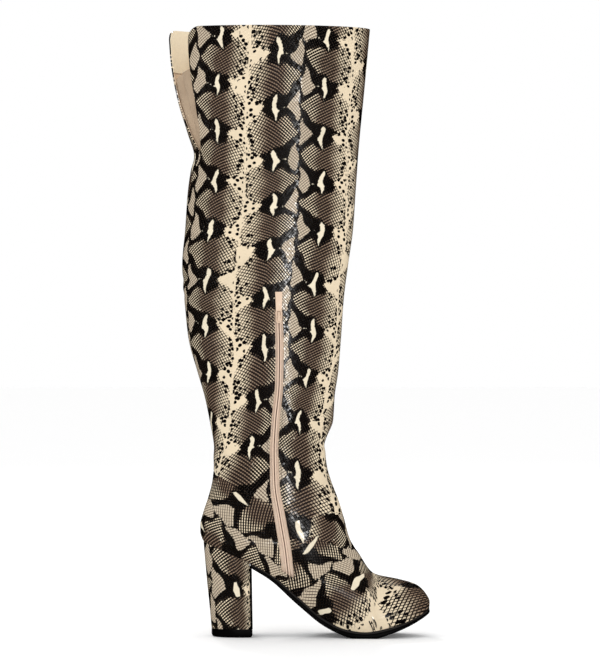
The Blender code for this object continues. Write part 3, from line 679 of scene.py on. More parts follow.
@dataclass(frozen=True)
class PrintLeather:
    """Glossy coated leather with an embossed scale grain under a snake print."""

    black: Colour = srgb(6, 4, 4)
    shadow: Colour = srgb(38, 28, 24)
    cream: Colour = srgb(231, 213, 183)
    flame: Colour = srgb(236, 224, 198)
    tan: Colour = srgb(138, 117, 97)
    strip: Colour = srgb(206, 190, 166)
    strip_line: Colour = srgb(88, 73, 62)
    roughness: float = 0.26
    specular: float = 0.5
    coat: float = 0.03
    coat_roughness: float = 0.2
    grain_depth: float = 0.00012
    tilt: float = 2.4
    spot_rows: float = 0.625
    spot_lines: float = 0.6
    row_weight: float = 1.2
    row_light: Span = (-0.08, 0.06)
    line_light: Span = (0.25, 0.60)
    plate_light: Span = (-0.12, 0.12)
    plates_from: Span = (0.26, 0.42)
    faint_plates: Span = (0.80, 0.98)
    faint_edge: Span = (-2.4, -0.2)
    faint_near: float = 0.4
    faint_least: float = 0.1
    plate_middle: float = 0.45
    plate_reach: float = 1.1
    ground_edge: Span = (0.6, 0.0)
    hatch_rows: Span = (0.30, 0.62)
    hatch_lines: Span = (0.0, 0.4)
    strip_reach: float = 0.6
    strip_edge: Span = (0.3, -0.3)
    spot_chance: Span = (-0.02, 0.02)
    spot_size: Span = (0.36, 0.28)
    spot_shrink: float = 0.3
    flame_edge: Span = (0.35, -0.35)
    cloud_scale: float = 38.0
    cloud_edge: Span = (0.35, 0.75)
    cloud_share: float = 0.10
    groove: Span = (0.0, 0.28)
    fine_scale: float = 900.0
    fine_share: float = 0.12
    polish: Span = (0.0, 0.5)
    polish_share: float = -0.12
    cloud_rough: float = 0.06

    def printed(self, paint: Painter, counts: Sequence[Value], waves: Sequence[Value],
                plate: Value) -> Value:
        """The print's colour.

        Args:
            paint: The material's painter.
            counts: Counts of the scale rows and of the lines across them.
            waves: The waves of both, 0 in the grooves and 1 between them.
            plate: Height on a scale.

        Returns:
            The colour at each place.
        """
        rows, lines = counts
        row_wave, line_wave = waves
        light, kite, spots = paint.attribute("print_shapes")
        ground, tone, brown = paint.attribute("print_tones")
        lit_lines = paint.step(row_wave + tone - 1.0, *self.row_light)
        lit_lines = lit_lines * paint.step(line_wave, *self.line_light)
        lit_plates = paint.step(plate + tone - 1.0, *self.plate_light)
        lit = lit_lines + (lit_plates - lit_lines) * paint.step(tone, *self.plates_from)
        pale = paint.mix(brown, self.cream, self.tan)
        colour = paint.mix(lit, paint.mix(brown, self.black, self.shadow), pale)
        faint = paint.step(ground, *self.faint_edge) * self.faint_near + self.faint_least
        faint = faint * paint.step(plate, *self.faint_plates)
        stepped = (plate - self.plate_middle) * self.plate_reach
        outside = paint.step(ground + stepped, *self.ground_edge)
        colour = paint.mix(outside, colour, paint.mix(faint, self.black, self.tan))
        hatch = paint.step(row_wave, *self.hatch_rows) * paint.step(line_wave, *self.hatch_lines)
        strip = paint.mix(hatch, self.strip_line, self.strip)
        colour = paint.mix(paint.step(kite - stepped * self.strip_reach, *self.strip_edge), colour, strip)
        spot, number = paint.cells(rows * self.spot_rows, lines * self.spot_lines)
        spotted = paint.step(spot - number * self.spot_shrink, *self.spot_size)
        spotted = spotted * paint.step(spots - number, *self.spot_chance)
        colour = paint.mix(spotted, colour, self.black)
        return paint.mix(paint.step(light, *self.flame_edge), colour, self.flame)

    def material(self, name: str) -> Material:
        """The material for a mesh that carries the print's attributes and its UV map.

        Args:
            name: The material's name.

        Returns:
            The material.
        """
        paint = Painter(name)
        rows, lines, _ = paint.surface_uv("print")
        row_wave, line_wave = rows.wave(), lines.wave()
        plate = (row_wave * self.row_weight).math("MINIMUM", line_wave)
        colour = self.printed(paint, (rows, lines), (row_wave, line_wave), plate)
        cloudy = paint.noise(self.cloud_scale)
        darker = paint.step(cloudy, *self.cloud_edge) * self.cloud_share
        tilt = (rows.math("FRACT") - 0.5) * (paint.chance(rows, lines) - 0.5) * self.tilt
        height = paint.step(plate, *self.groove) + tilt + paint.noise(self.fine_scale) * self.fine_share
        rough = paint.step(plate, *self.polish) * self.polish_share + self.roughness
        return paint.dress(
            base_color=paint.mix(darker, colour, self.shadow),
            roughness=rough + cloudy * self.cloud_rough,
            normal=paint.bump(height, self.grain_depth),
            specular_ior_level=self.specular,
            coat_weight=self.coat,
            coat_roughness=self.coat_roughness,
        )


@dataclass(frozen=True)
class Cloth:
    """Plain woven cloth, read on a UV map laid across and along its threads."""

    colour: Colour
    shade: Colour
    thread: float
    roughness: float = 0.85
    ribs: bool = False
    cloud_scale: float = 60.0
    cloud_edge: Span = (0.3, 0.7)
    thread_edge: Span = (0.1, 0.9)
    thread_share: float = 0.75
    relief: float = 0.3

    def material(self, name: str) -> Material:
        """The cloth's material; with ribs only the threads along the UV map's second axis show.

        Args:
            name: The material's name.

        Returns:
            The material.
        """
        paint = Painter(name)
        across, along, _ = paint.surface_uv("weave")
        threads = UV_MM * MM / self.thread
        weft, warp = (across * threads).wave(), (along * threads).wave()
        height = weft if self.ribs else weft * 0.5 + warp * 0.5
        tint = paint.step(paint.noise(self.cloud_scale), *self.cloud_edge) * (1 - self.thread_share)
        tint = tint + paint.step(height, *self.thread_edge) * self.thread_share
        return paint.dress(
            base_color=paint.mix(tint, self.shade, self.colour),
            roughness=self.roughness - tint * THREAD_GLOSS,
            normal=paint.bump(height, self.thread * self.relief),
        )


@dataclass(frozen=True)
class Moulded:
    """Moulded sole rubber or enamelled metal: one colour with fine grain, scuffs and a change in gloss."""

    colour: Colour
    worn: Colour
    roughness: float
    grain: float
    specular: float = 0.5
    coat: float = 0.0
    cloud: Noise = (90.0, 5.0)
    fine: Noise = (1600.0, 2.0)
    scuffs: Span = (0.55, 0.8)
    scuff_share: float = 0.6
    specks: Span = (0.5, 0.8)
    speck_share: float = 0.2
    gloss_change: float = 0.16

    def ground(self, paint: Painter) -> "Value | Colour":
        """The colour without scuffs, which the painter may mix."""
        return self.colour

    def material(self, name: str) -> Material:
        """The finish as a material on Object coordinates.

        Args:
            name: The material's name.

        Returns:
            The material.
        """
        paint = Painter(name)
        cloudy, fine = paint.noise(*self.cloud), paint.noise(*self.fine)
        scuffed = paint.step(cloudy, *self.scuffs) * self.scuff_share
        scuffed = scuffed + paint.step(fine, *self.specks) * self.speck_share
        return paint.dress(
            base_color=paint.mix(scuffed, self.ground(paint), self.worn),
            roughness=cloudy * self.gloss_change + (self.roughness - self.gloss_change / 2),
            normal=paint.bump(fine, self.grain),
            specular_ior_level=self.specular,
            coat_weight=self.coat,
        )


class Workshop:
    """Blender's own modelling steps, each with nothing else selected."""

    weld_distance = 0.00001

    @staticmethod
    def clear_selection() -> None:
        """Leaves edit mode and deselects every object."""
        if bpy.context.mode != "OBJECT":
            bpy.ops.object.mode_set(mode="OBJECT")
        bpy.ops.object.select_all(action="DESELECT")

    @classmethod
    def pick(cls, piece: Piece) -> None:
        """Makes a piece the active one and the only one that is selected."""
        cls.clear_selection()
        bpy.context.view_layer.objects.active = piece
        piece.select_set(True)

    @classmethod
    def edit_all(cls, piece: Piece, step: Callable[[], set[str]]) -> None:
        """Takes a step in edit mode with the whole mesh selected.

        Args:
            piece: The mesh object.
            step: What to do.
        """
        cls.pick(piece)
        bpy.ops.object.mode_set(mode="EDIT")
        bpy.ops.mesh.select_all(action="SELECT")
        step()
        bpy.ops.object.mode_set(mode="OBJECT")

    @classmethod
    def grid(cls, name: str, points: np.ndarray) -> Piece:
        """A grid laid through rows of points.

        Args:
            name: The piece's name.
            points: Rows and columns of points in millimetres. Rows run down and columns from the front to
                the back on the zip side, so that the faces point outwards.

        Returns:
            The new object.
        """
        cls.clear_selection()
        rows, across = points.shape[:2]
        bpy.ops.mesh.primitive_grid_add(x_subdivisions=across - 1, y_subdivisions=rows - 1)
        piece = bpy.context.object
        piece.name = name
        piece.data.name = name
        piece.data.vertices.foreach_set("co", ((points + STAND) * MM).astype(np.float32).ravel())
        piece.data.update()
        return piece

    @classmethod
    def delete_faces(cls, piece: Piece, chosen: np.ndarray) -> None:
        """Deletes the chosen faces in edit mode.

        Args:
            piece: The mesh object.
            chosen: Whether each face goes.
        """
        cls.pick(piece)
        bpy.context.tool_settings.mesh_select_mode = (False, False, True)
        bpy.ops.object.mode_set(mode="EDIT")
        bpy.ops.mesh.select_all(action="DESELECT")
        bpy.ops.object.mode_set(mode="OBJECT")
        piece.data.polygons.foreach_set("select", chosen)
        bpy.ops.object.mode_set(mode="EDIT")
        bpy.ops.mesh.delete(type="FACE")
        bpy.ops.object.mode_set(mode="OBJECT")

    @classmethod
    def weld(cls, piece: Piece) -> None:
        """Merges points that coincide."""
        cls.edit_all(piece, lambda: bpy.ops.mesh.remove_doubles(threshold=cls.weld_distance))

    @classmethod
    def finish(cls, piece: Piece, kind: str, **settings: "float | int | str") -> None:
        """Adds a modifier and applies it.

        Args:
            piece: The mesh object.
            kind: The modifier's type.
            settings: Its properties.
        """
        cls.pick(piece)
        modifier = piece.modifiers.new("Shape", kind)
        for key, value in settings.items():
            setattr(modifier, key, value)
        bpy.ops.object.modifier_apply(modifier=modifier.name)

    @classmethod
    def smooth(cls, piece: Piece, degrees: float) -> None:
        """Shades a piece smooth apart from its sharp edges."""
        cls.pick(piece)
        bpy.ops.object.shade_smooth_by_angle(angle=math.radians(degrees))

    @classmethod
    def sheet(cls, piece: Piece, thick: float, degrees: float) -> None:
        """Gives an open sheet its thickness in millimetres, on the inner side, and shades it smooth."""
        cls.finish(piece, "SOLIDIFY", thickness=thick * MM, offset=-1.0)
        cls.smooth(piece, degrees)

    @staticmethod
    def from_faces(name: str, points: np.ndarray, faces: Sequence[Sequence[int]]) -> Piece:
        """A mesh from points in millimetres and faces, for shapes that repeat often or follow a loft.

        Args:
            name: The piece's name.
            points: Its points.
            faces: Point numbers of each face.

        Returns:
            The new object.
        """
        data = bpy.data.meshes.new(name)
        data.from_pydata(((np.asarray(points) + STAND) * MM).tolist(), [], [tuple(face) for face in faces])
        piece = bpy.data.objects.new(name, data)
        bpy.context.scene.collection.objects.link(piece)
        return piece

    @staticmethod
    def vectors(piece: Piece, name: str, values: np.ndarray, domain: str = "POINT") -> None:
        """Gives each point or face corner of a mesh a vector attribute."""
        layer = piece.data.attributes.new(name, "FLOAT_VECTOR", domain)
        layer.data.foreach_set("vector", values.astype(np.float32).ravel())

    @classmethod
    def count(cls, piece: Piece, name: str, values: np.ndarray) -> None:
        """Gives each point of a mesh one number, as a vector attribute."""
        cls.vectors(piece, name, np.repeat(np.ravel(values)[:, None], 3, axis=1))

    @staticmethod
    def uv(piece: Piece, name: str, corners: np.ndarray) -> None:
        """Gives each face corner of a mesh a place on a UV map, whose only map it becomes."""
        while piece.data.uv_layers:
            piece.data.uv_layers.remove(piece.data.uv_layers[0])
        layer = piece.data.uv_layers.new(name=name)
        layer.data.foreach_set("uv", corners.astype(np.float32).ravel())

    @classmethod
    def weave(cls, piece: Piece, across: np.ndarray, along: np.ndarray) -> None:
        """Gives a grid the UV map of its cloth, from millimetres across and along it at each point."""
        places = np.stack([across, along], axis=-1).reshape(-1, 2)
        cls.uv(piece, "weave", places[cls.corner_points(piece)] / UV_MM)

    @staticmethod
    def corner_points(piece: Piece) -> np.ndarray:
        """The point number of each face corner."""
        numbers = np.empty(len(piece.data.loops), np.int32)
        piece.data.loops.foreach_get("vertex_index", numbers)
        return numbers

    @staticmethod
    def face_of_corner(piece: Piece) -> np.ndarray:
        """The face number of each face corner."""
        totals = np.empty(len(piece.data.polygons), np.int32)
        piece.data.polygons.foreach_get("loop_total", totals)
        return np.repeat(np.arange(len(totals)), totals)


def lay_print(piece: Piece, repeat: SnakePrint, across: np.ndarray, along: np.ndarray, bare: np.ndarray,
              own: np.ndarray, spread: np.ndarray | float) -> None:
    """Lays the print on a mesh whose face corners have places in the repeat.

    Args:
        piece: The mesh object.
        repeat: The printed repeat.
        across: Millimetres across the repeat, one for each face corner.
        along: Millimetres down the repeat, one for each face corner.
        bare: How far inside a place without the repeat's flames each face corner is.
        own: Distance from each face corner to the piece's own flames.
        spread: How far the pieces of the repeat reach into the black between them.
    """
    faces = Workshop.face_of_corner(piece)
    places, number = np.unique(across + 1j * along, return_inverse=True)
    shapes, tones = (values[number] for values in repeat.chart(places.real, places.imag))
    shapes[:, 0] = np.minimum(np.maximum(shapes[:, 0], bare), own)
    shapes[:, 1] -= spread
    tones[:, 0] += spread
    Workshop.vectors(piece, "print_shapes", shapes, "CORNER")
    Workshop.vectors(piece, "print_tones", tones, "CORNER")
    middle = np.bincount(faces, weights=across) / np.bincount(faces)
    tile = np.floor(middle / repeat.width + 0.5) * repeat.width
    mirrored = (middle - tile < 0)[faces]
    turned = across - tile[faces]
    folded = np.where(mirrored, -turned, turned)
    shifted = along + np.where(mirrored, repeat.repeat / 2, 0.0)
    Workshop.uv(piece, "print", np.stack(repeat.plates(folded, shifted), axis=-1))


@dataclass(frozen=True)
class Crease:
    """A soft trough with a ridge beside it, drawn on the boot seen from the side."""

    start: Point
    end: Point
    depth: float
    width: float
    ridge: float
    ridge_off: float = 2.2
    ridge_width: float = 1.4
    end_fade: float = 2.5
    end_share: float = 0.5

    def lift(self, points: np.ndarray) -> np.ndarray:
        """How far the crease moves each point outwards, in millimetres.

        Args:
            points: Points of the boot.

        Returns:
            The distance of each point.
        """
        x, _, z = np.moveaxis(points, -1, 0)
        run, rise = self.end[0] - self.start[0], self.end[1] - self.start[1]
        length = math.hypot(run, rise)
        share = ((x - self.start[0]) * run + (z - self.start[1]) * rise) / length ** 2
        off = ((z - self.start[1]) * run - (x - self.start[0]) * rise) / length / self.width
        beyond = np.maximum(np.abs(share - 0.5) - 0.5, 0) * length
        from_middle = np.abs(2 * np.clip(share, 0, 1) - 1)
        fade = np.exp(-(beyond / (self.end_fade * self.width)) ** 2) * (1 - self.end_share * from_middle ** 2)
        bank = self.ridge * np.exp(-((off + self.ridge_off) / self.ridge_width) ** 2)
        return (bank - self.depth * np.exp(-off ** 2)) * fade


@dataclass(frozen=True)
class Panel:
    """A panel of the foot, cut with its own slant of the print."""

    outline: Table
    flame: Point
    turn: Point
    scale: Point
    spread: float = 0.0

    def within(self, points: np.ndarray) -> np.ndarray:
        """Distance inside the panel's outline, seen from the side, negative outside it."""
        return -SnakePrint.to_shape(points[..., 0], points[..., 2], self.outline)

    def places(self, repeat: SnakePrint, forward: np.ndarray, height: np.ndarray) -> Pair:
        """Places in the repeat, from distances forward and up on the panel laid flat."""
        ahead, down = forward - self.flame[0], self.flame[1] - height
        cos, sin = self.turn
        across = repeat.slit + self.scale[0] * (cos * ahead + sin * down)
        return across, self.scale[1] * (cos * down - sin * ahead)


@dataclass
class Upper:
    """The printed upper with its turned edges, and the lining inside it."""

    form: BootForm
    repeat: SnakePrint
    columns: tuple[int, ...] = (84, 6, 66, 12, 20, 12, 92)
    shaft_rows: int = 256
    foot_rows: int = 82
    corner_radius: float = 15.0
    corner_fade: float = 60.0
    corner_angle: float = 0.22
    lining_skip: int = 3
    lining_thick: float = 0.4
    facing_depth: float = 44.0
    turned_in: tuple[float, ...] = (0.5, 1.0)
    flame_columns: tuple[Table, ...] = (
        ((53, 395.4), (109, 391), (163, 390), (206, 389), (248, 385), (298, 380), (346, 379.6), (401, 373),
         (446, 367), (498, 353), (545, 340)),
        ((42, 442.6), (90, 440), (138, 437), (184, 437), (233, 436), (285, 429), (331, 428), (377, 422),
         (421, 414), (475, 413.6), (529, 415)),
    )
    rear_column: Table = ((39, 336.5), (85, 335), (132, 334), (181, 331), (231, 330.7), (281, 325.7),
                          (324, 324.5))
    phases: tuple[float, ...] = (0.0, 0.5, 0.0)
    flame_step: float = 49.0
    flames_beyond: int = 20
    photo_origin: Point = (316.0, 637.0)
    vamp: Panel = Panel(
        ((170.0, 86.0), (150.0, 88.0), (136.0, 91.0), (124.0, 96.0), (112.0, 102.0), (99.0, 91.0),
         (86.0, 85.0), (87.6, 62.0), (86.0, 20.0), (86.0, -20.0), (300.0, -20.0), (300.0, 86.0)),
        (157.0, 60.0), (0.691, 0.723), (0.85, 1.016), 0.7)
    toe: Panel = Panel((), (127.6, -2.8), (0.9, -0.436), (0.5, 1.0))
    instep: Panel = Panel(
        ((108.0, 100.0), (112.0, 121.0), (128.0, 124.0), (150.0, 122.0), (170.0, 118.0), (170.0, 60.0),
         (112.0, 60.0)),
        (131.4, 130.0), (-1.0, 0.0), (1.0, 1.0))
    toe_from: float = 166.0
    toe_to: float = 182.0
    vamp_widths: Table = ((80.0, 33.0), (123.0, 37.0), (164.0, 41.0), (200.0, 37.0), (226.0, 20.0),
                          (231.0, 6.0))
    lay_over: float = 0.55
    lay_more: float = 0.4
    lay_more_from: float = 14.0
    counter: Panel = Panel(
        ((-40.0, 180.0), (0.0, 172.0), (12.0, 167.0), (24.0, 158.0), (36.0, 149.5), (46.0, 145.5),
         (57.0, 140.0), (74.0, 134.0), (79.0, 121.0), (84.8, 88.0), (87.6, 62.0), (86.0, 20.0),
         (86.0, -20.0), (-40.0, -20.0)),
        (40.5, 138.0), (0.63, -0.77), (0.88, 1.0), 0.9)
    without_flames: Table = ((31.0, 82.0, 14.0), (70.0, 110.0, 10.0), (134.0, 116.0, 9.0),
                             (157.0, 55.0, 14.0), (125.0, 27.0, 14.0), (107.0, 89.0, 12.0),
                             (98.0, 79.0, 7.0), (99.0, 108.0, 13.0), (41.0, 138.0, 15.0))
    foot_flames: tuple[Table, ...] = (
        ((159.0, 61.4), (164.0, 64.2), (164.2, 60.4), (159.6, 56.8), (157.9, 52.3), (152.7, 47.8),
         (149.6, 49.0), (150.8, 52.0), (152.3, 56.2), (153.6, 58.9), (155.7, 60.6)),
        ((116.6, 27.2), (120.7, 28.6), (124.8, 29.4), (129.0, 31.0), (131.0, 27.8), (129.3, 25.4),
         (124.0, 24.6), (121.5, 22.9), (117.3, 23.4), (119.0, 25.3)),
        ((118.6, 103.8), (113.6, 98.5), (108.3, 93.5), (105.2, 88.8), (100.8, 82.7), (107.5, 85.4),
         (112.3, 91.1), (115.9, 97.0)),
        ((94.8, 116.8), (98.8, 117.8), (100.0, 109.5), (103.8, 102.4), (103.0, 94.2), (99.8, 99.8),
         (96.4, 105.4), (94.8, 111.3)),
        ((32.2, 145.2), (35.6, 145.9), (40.2, 142.2), (45.0, 136.2), (49.2, 131.0), (44.0, 134.0),
         (38.6, 137.4), (35.4, 141.2)),
    )
    seam_depth: float = 0.25
    seam_width: float = 0.8
    creases: tuple[Crease, ...] = (
        Crease((34.0, 104.5), (78.0, 97.0), 1.5, 1.7, 1.7, 4.2, 2.8),
        Crease((-16.0, 358.0), (6.0, 353.0), 1.4, 4.0, 0.8),
        Crease((-15.0, 344.0), (0.0, 348.0), 1.0, 3.5, 0.6),
        Crease((118.0, 196.0), (130.0, 188.0), 1.0, 4.0, 0.6),
        Crease((14.0, 190.0), (40.0, 178.0), 0.8, 4.5, 0.6),
        Crease((100.0, 172.0), (126.0, 180.0), 0.6, 4.0, 0.4),
        Crease((138.0, 118.0), (120.0, 104.0), 0.6, 4.0, 0.4),
    )

    def __post_init__(self) -> None:
        """Counts the columns up to the edges of the zip's cut, those of the slit and the last one."""
        stops = [int(stop) for stop in np.cumsum(self.columns)]
        self.zip_front, self.zip_rear, _, self.slit_near, self.slit_far, _, self.last = stops

    def rows(self) -> tuple[np.ndarray, list[int]]:
        """Ways of the rows, and which rows end the slit and the zip's cut.

        Returns:
            The ways, and the numbers of the three rows.
        """
        form = self.form
        shaft = np.linspace(0, form.ankle, self.shaft_rows, endpoint=False)
        ways = np.concatenate([shaft, np.linspace(form.ankle, form.length, self.foot_rows)])
        stops = [form.slit_end, *form.zip_ends()]
        places = [int(np.argmin(abs(ways - stop))) for stop in stops]
        ways[places] = stops
        return ways, places

    def angles(self, ways: np.ndarray) -> np.ndarray:
        """Angles of the columns at each way, from the front round the zip side and back to the front.

        Args:
            ways: Way of each row.

        Returns:
            One row of angles for each way.
        """
        half = self.form.zip_half_width(ways)
        zip_front, zip_rear = (self.form.zip_angle(ways, offset) for offset in (half, -half))
        near, far = np.array([self.form.slit_angles(way) for way in ways]).T
        front = np.full(len(ways), math.pi)
        corners = near - self.corner_angle, near, far, far + self.corner_angle
        stops = np.stack([-front, zip_front, zip_rear, *corners, front], axis=-1)
        knots = np.concatenate([[0], np.cumsum(self.columns)])
        return np.array([np.interp(np.arange(self.last + 1), knots, row) for row in stops])

    def corner_drop(self, points: np.ndarray) -> np.ndarray:
        """How far each point of the collar line drops, so that the slit's corners are round.

        Args:
            points: Points of the collar line.

        Returns:
            The drops in millimetres.
        """
        along = row_lengths(points[None])[0]
        near, far = along[self.slit_near], along[self.slit_far]
        reach = np.where(along < (near + far) / 2, near - along, along - far)
        inward = np.clip(1 - reach / self.corner_radius, 0, 1)
        return self.corner_radius * (1 - np.sqrt(1 - inward ** 2))

    def places(self) -> tuple[np.ndarray, np.ndarray, list[int]]:
        """Ways and angles of all points, the collar's corners rounded, and the rows that end the cuts.

        Returns:
            The ways, the angles and the numbers of the three rows.
        """
        ways, ends = self.rows()
        angles = self.angles(ways)
        drop = self.corner_drop(self.form.at(np.zeros(self.last + 1), angles[0]))
        fade = np.maximum(1 - ways / self.corner_fade, 0)
        return ways[:, None] + drop * fade[:, None], angles, ends

    def relief(self, points: np.ndarray) -> np.ndarray:
        """How far the creases and the seams move each point outwards."""
        lift = sum(crease.lift(points) for crease in self.creases)
        for panel in (self.vamp, self.counter):
            lift = lift - self.seam_depth * np.exp(-(panel.within(points) / self.seam_width) ** 2)
        return lift

    def column_lengths(self, column: Table, ways: np.ndarray, angles: np.ndarray,
                       lengths: np.ndarray) -> np.ndarray:
        """How far along each row a column of flames crosses it."""
        left, top = self.photo_origin
        down, forward = zip(*column)
        line = self.form.line_angle(ways, lambda height: smooth_curve(down, forward, top - height) - left)
        return np.array([np.interp(*crossing) for crossing in zip(line, angles, lengths)])

    def flame_counts(self, column: Table, phase: float, level: np.ndarray) -> np.ndarray:
        """Millimetres down the repeat at some levels of the photo, by the flames of a column.

        Args:
            column: Where the column's flames are in the photo.
            phase: Share of a repeat by which they are moved.
            level: Levels to read, down the photo.

        Returns:
            Millimetres down the repeat.
        """
        down = [place for place, _ in column]
        over = down[0] - self.flames_beyond * (down[1] - down[0])
        under = down[-1] + self.flames_beyond * self.flame_step
        numbers = [-self.flames_beyond, *range(len(down)), len(down) - 1 + self.flames_beyond]
        return self.repeat.repeat * (np.interp(level, [over, *down, under], numbers) + phase)

    def leg_places(self, ways: np.ndarray, angles: np.ndarray, points: np.ndarray, side: Side) -> Pair:
        """Places in the repeat on the leg, whose columns of flames follow the leg from seam to seam.

        Args:
            ways: Way of each point.
            angles: Angle of each point.
            points: The points, in rows and columns.
            side: The side over which the leg is measured from its front to the seam at the back.

        Returns:
            Millimetres across and along the repeat.
        """
        lengths = row_lengths(points)
        rear, front = (self.column_lengths(column, ways[:, 0], angles, lengths)[:, None]
                       for column in self.flame_columns)
        slit, width = self.repeat.slit, self.repeat.width
        across = slit * (2 * (rear - lengths) / (rear - front) - 1)
        if side is Side.OUTER:
            across = across[:, :1] + lengths[:, -1:] - lengths
        level = self.photo_origin[1] - points[..., 2]
        columns = (self.rear_column, *self.flame_columns)
        back, middle, fore = (self.flame_counts(*column, level) for column in zip(columns, self.phases))
        to_middle = np.clip((across + width - slit) / (width - 2 * slit), 0, 1)
        to_fore = np.clip((across + slit) / (2 * slit), 0, 1)
        return across, back + (middle - back) * to_middle + (fore - middle) * to_fore

    @staticmethod
    def forward(points: np.ndarray, edge: int) -> np.ndarray:
        """Distance forward of each point when its row is laid flat from one column."""
        lengths = row_lengths(points)
        return (points[:, edge, 0] + lengths[:, edge])[:, None] - lengths

    def instep_places(self, points: np.ndarray) -> Pair:
        """Places in the repeat on the instep, which is laid round the front from the zip's front edge."""
        forward = self.forward(points, self.zip_front)
        past_middle = (self.last + 1) // 2 + 1
        forward[:, past_middle:] += forward[:, :1] - forward[:, -1:]
        return self.instep.places(self.repeat, forward, points[..., 2])

    def vamp_places(self, points: np.ndarray) -> Pair:
        """Places in the repeat on the vamp, which is laid up each side of the foot to its ridge.

        Args:
            points: Points of the upper.

        Returns:
            Millimetres across and along the repeat.
        """
        x, y, z = np.moveaxis(points, -1, 0)
        drawn_in = smooth_curve(*zip(*self.vamp_widths), x) - np.abs(y + self.form.swing(x))
        height = z + self.lay_over * np.maximum(drawn_in, 0)
        height = height + self.lay_more * np.maximum(drawn_in - self.lay_more_from, 0)
        drawn = eased(x, self.toe_from, self.toe_to)
        rear, front = (panel.places(self.repeat, x, height) for panel in (self.vamp, self.toe))
        return tuple(behind + (ahead - behind) * drawn for behind, ahead in zip(rear, front))

    def counter_places(self, points: np.ndarray) -> Pair:
        """Places in the repeat on the counter, which is laid round the heel from the zip's rear edge."""
        return self.counter.places(self.repeat, self.forward(points, self.zip_rear), points[..., 2])

    def build(self) -> tuple[Piece, Piece]:
        """Makes the printed upper and the lining.

        Returns:
            The two pieces.
        """
        ways, angles, (slit_end, zip_top, zip_bottom) = self.places()
        flat, outward = self.form.at(ways, angles), self.form.outward(ways, angles)
        lift = self.relief(flat)[..., None]
        points = flat + outward * lift
        points[:, -1] = points[:, 0]
        cut = np.zeros((len(ways) - 1, self.last), bool)
        cut[:slit_end, self.slit_near:self.slit_far] = True
        cut[zip_top:zip_bottom, self.zip_front:self.zip_rear] = True
        upper = Workshop.grid("upper_leather", points)
        self.lay(upper, ways, angles, flat)
        Workshop.vectors(upper, "inward", -outward)
        Workshop.delete_faces(upper, cut.ravel())
        Workshop.weld(upper)
        self.turn_edges(upper)
        Workshop.smooth(upper, MOULDED_EDGE)
        return upper, self.lining(flat + outward * (lift - self.form.wall), cut)

    def lay(self, upper: Piece, ways: np.ndarray, angles: np.ndarray, flat: np.ndarray) -> None:
        """Lays the print: first both halves of the leg, then each panel of the foot over them.

        Args:
            upper: The grid before it is cut.
            ways: Way of each point.
            angles: Angle of each point.
            flat: The points before they are creased.
        """
        corners, faces = Workshop.corner_points(upper), Workshop.face_of_corner(upper)
        inner, outer = (self.leg_places(ways, angles, flat, side) for side in Side)
        past_back = faces % self.last >= (self.slit_near + self.slit_far) // 2
        layers = [(past_back, outer, 0.0)]
        for panel, laid_flat in ((self.instep, self.instep_places), (self.counter, self.counter_places),
                                 (self.vamp, self.vamp_places)):
            inside = np.bincount(faces, weights=panel.within(flat).ravel()[corners])[faces] > 0
            layers.append((inside, laid_flat(flat), panel.spread))
        laid = [values.ravel()[corners] for values in inner]
        spread = np.zeros(len(corners))
        for chosen, places, reach in layers:
            laid = [np.where(chosen, new.ravel()[corners], old) for new, old in zip(places, laid)]
            spread = np.where(chosen, reach, spread)
        forward, _, height = flat.reshape(-1, 3)[corners].T
        bare = -self.repeat.to_rounds(forward, height, self.without_flames)
        own = [self.repeat.to_shape(forward, height, flame) for flame in self.foot_flames]
        lay_print(upper, self.repeat, *laid, bare, np.minimum.reduce(own), spread)

    def turn_edges(self, upper: Piece) -> None:
        """Turns the free edges at the collar, the slit and the zip inwards by the thickness of the wall.

        Args:
            upper: The grid with its cuts.
        """
        Workshop.pick(upper)
        bpy.context.tool_settings.mesh_select_mode = (False, True, False)
        bpy.ops.object.mode_set(mode="EDIT")
        bpy.ops.mesh.select_all(action="DESELECT")
        bpy.ops.mesh.select_non_manifold()
        bpy.ops.object.mode_set(mode="OBJECT")
        for depth in self.turned_in:
            before = len(upper.data.vertices)
            bpy.ops.object.mode_set(mode="EDIT")
            bpy.ops.mesh.extrude_edges_move()
            bpy.ops.object.mode_set(mode="OBJECT")
            places, inward = np.empty((2, len(upper.data.vertices) * 3), np.float32)
            upper.data.vertices.foreach_get("co", places)
            upper.data.attributes["inward"].data.foreach_get("vector", inward)
            places[before * 3:] += inward[before * 3:] * depth * MM
            upper.data.vertices.foreach_set("co", places)
            upper.data.update()

    def lining(self, inner: np.ndarray, cut: np.ndarray) -> Piece:
        """The lining: a thin sheet on the inner face, with a facing round the collar.

        Args:
            inner: Points of the wall's inner face.
            cut: Which faces of the grid to leave out.

        Returns:
            The lining.
        """
        last_row = len(inner) - 1
        rows = np.unique([*range(0, last_row, self.lining_skip), last_row])
        columns = np.unique([*range(0, self.last, self.lining_skip), *np.cumsum(self.columns)])
        grid = inner[rows][:, columns]
        lining = Workshop.grid("lining", grid)
        Workshop.count(lining, "facing", self.form.collar - grid[..., 2] - self.facing_depth)
        Workshop.delete_faces(lining, cut[rows[:-1]][:, columns[:-1]].ravel())
        Workshop.weld(lining)
        Workshop.sheet(lining, self.lining_thick, SOFT_EDGE)
        return lining


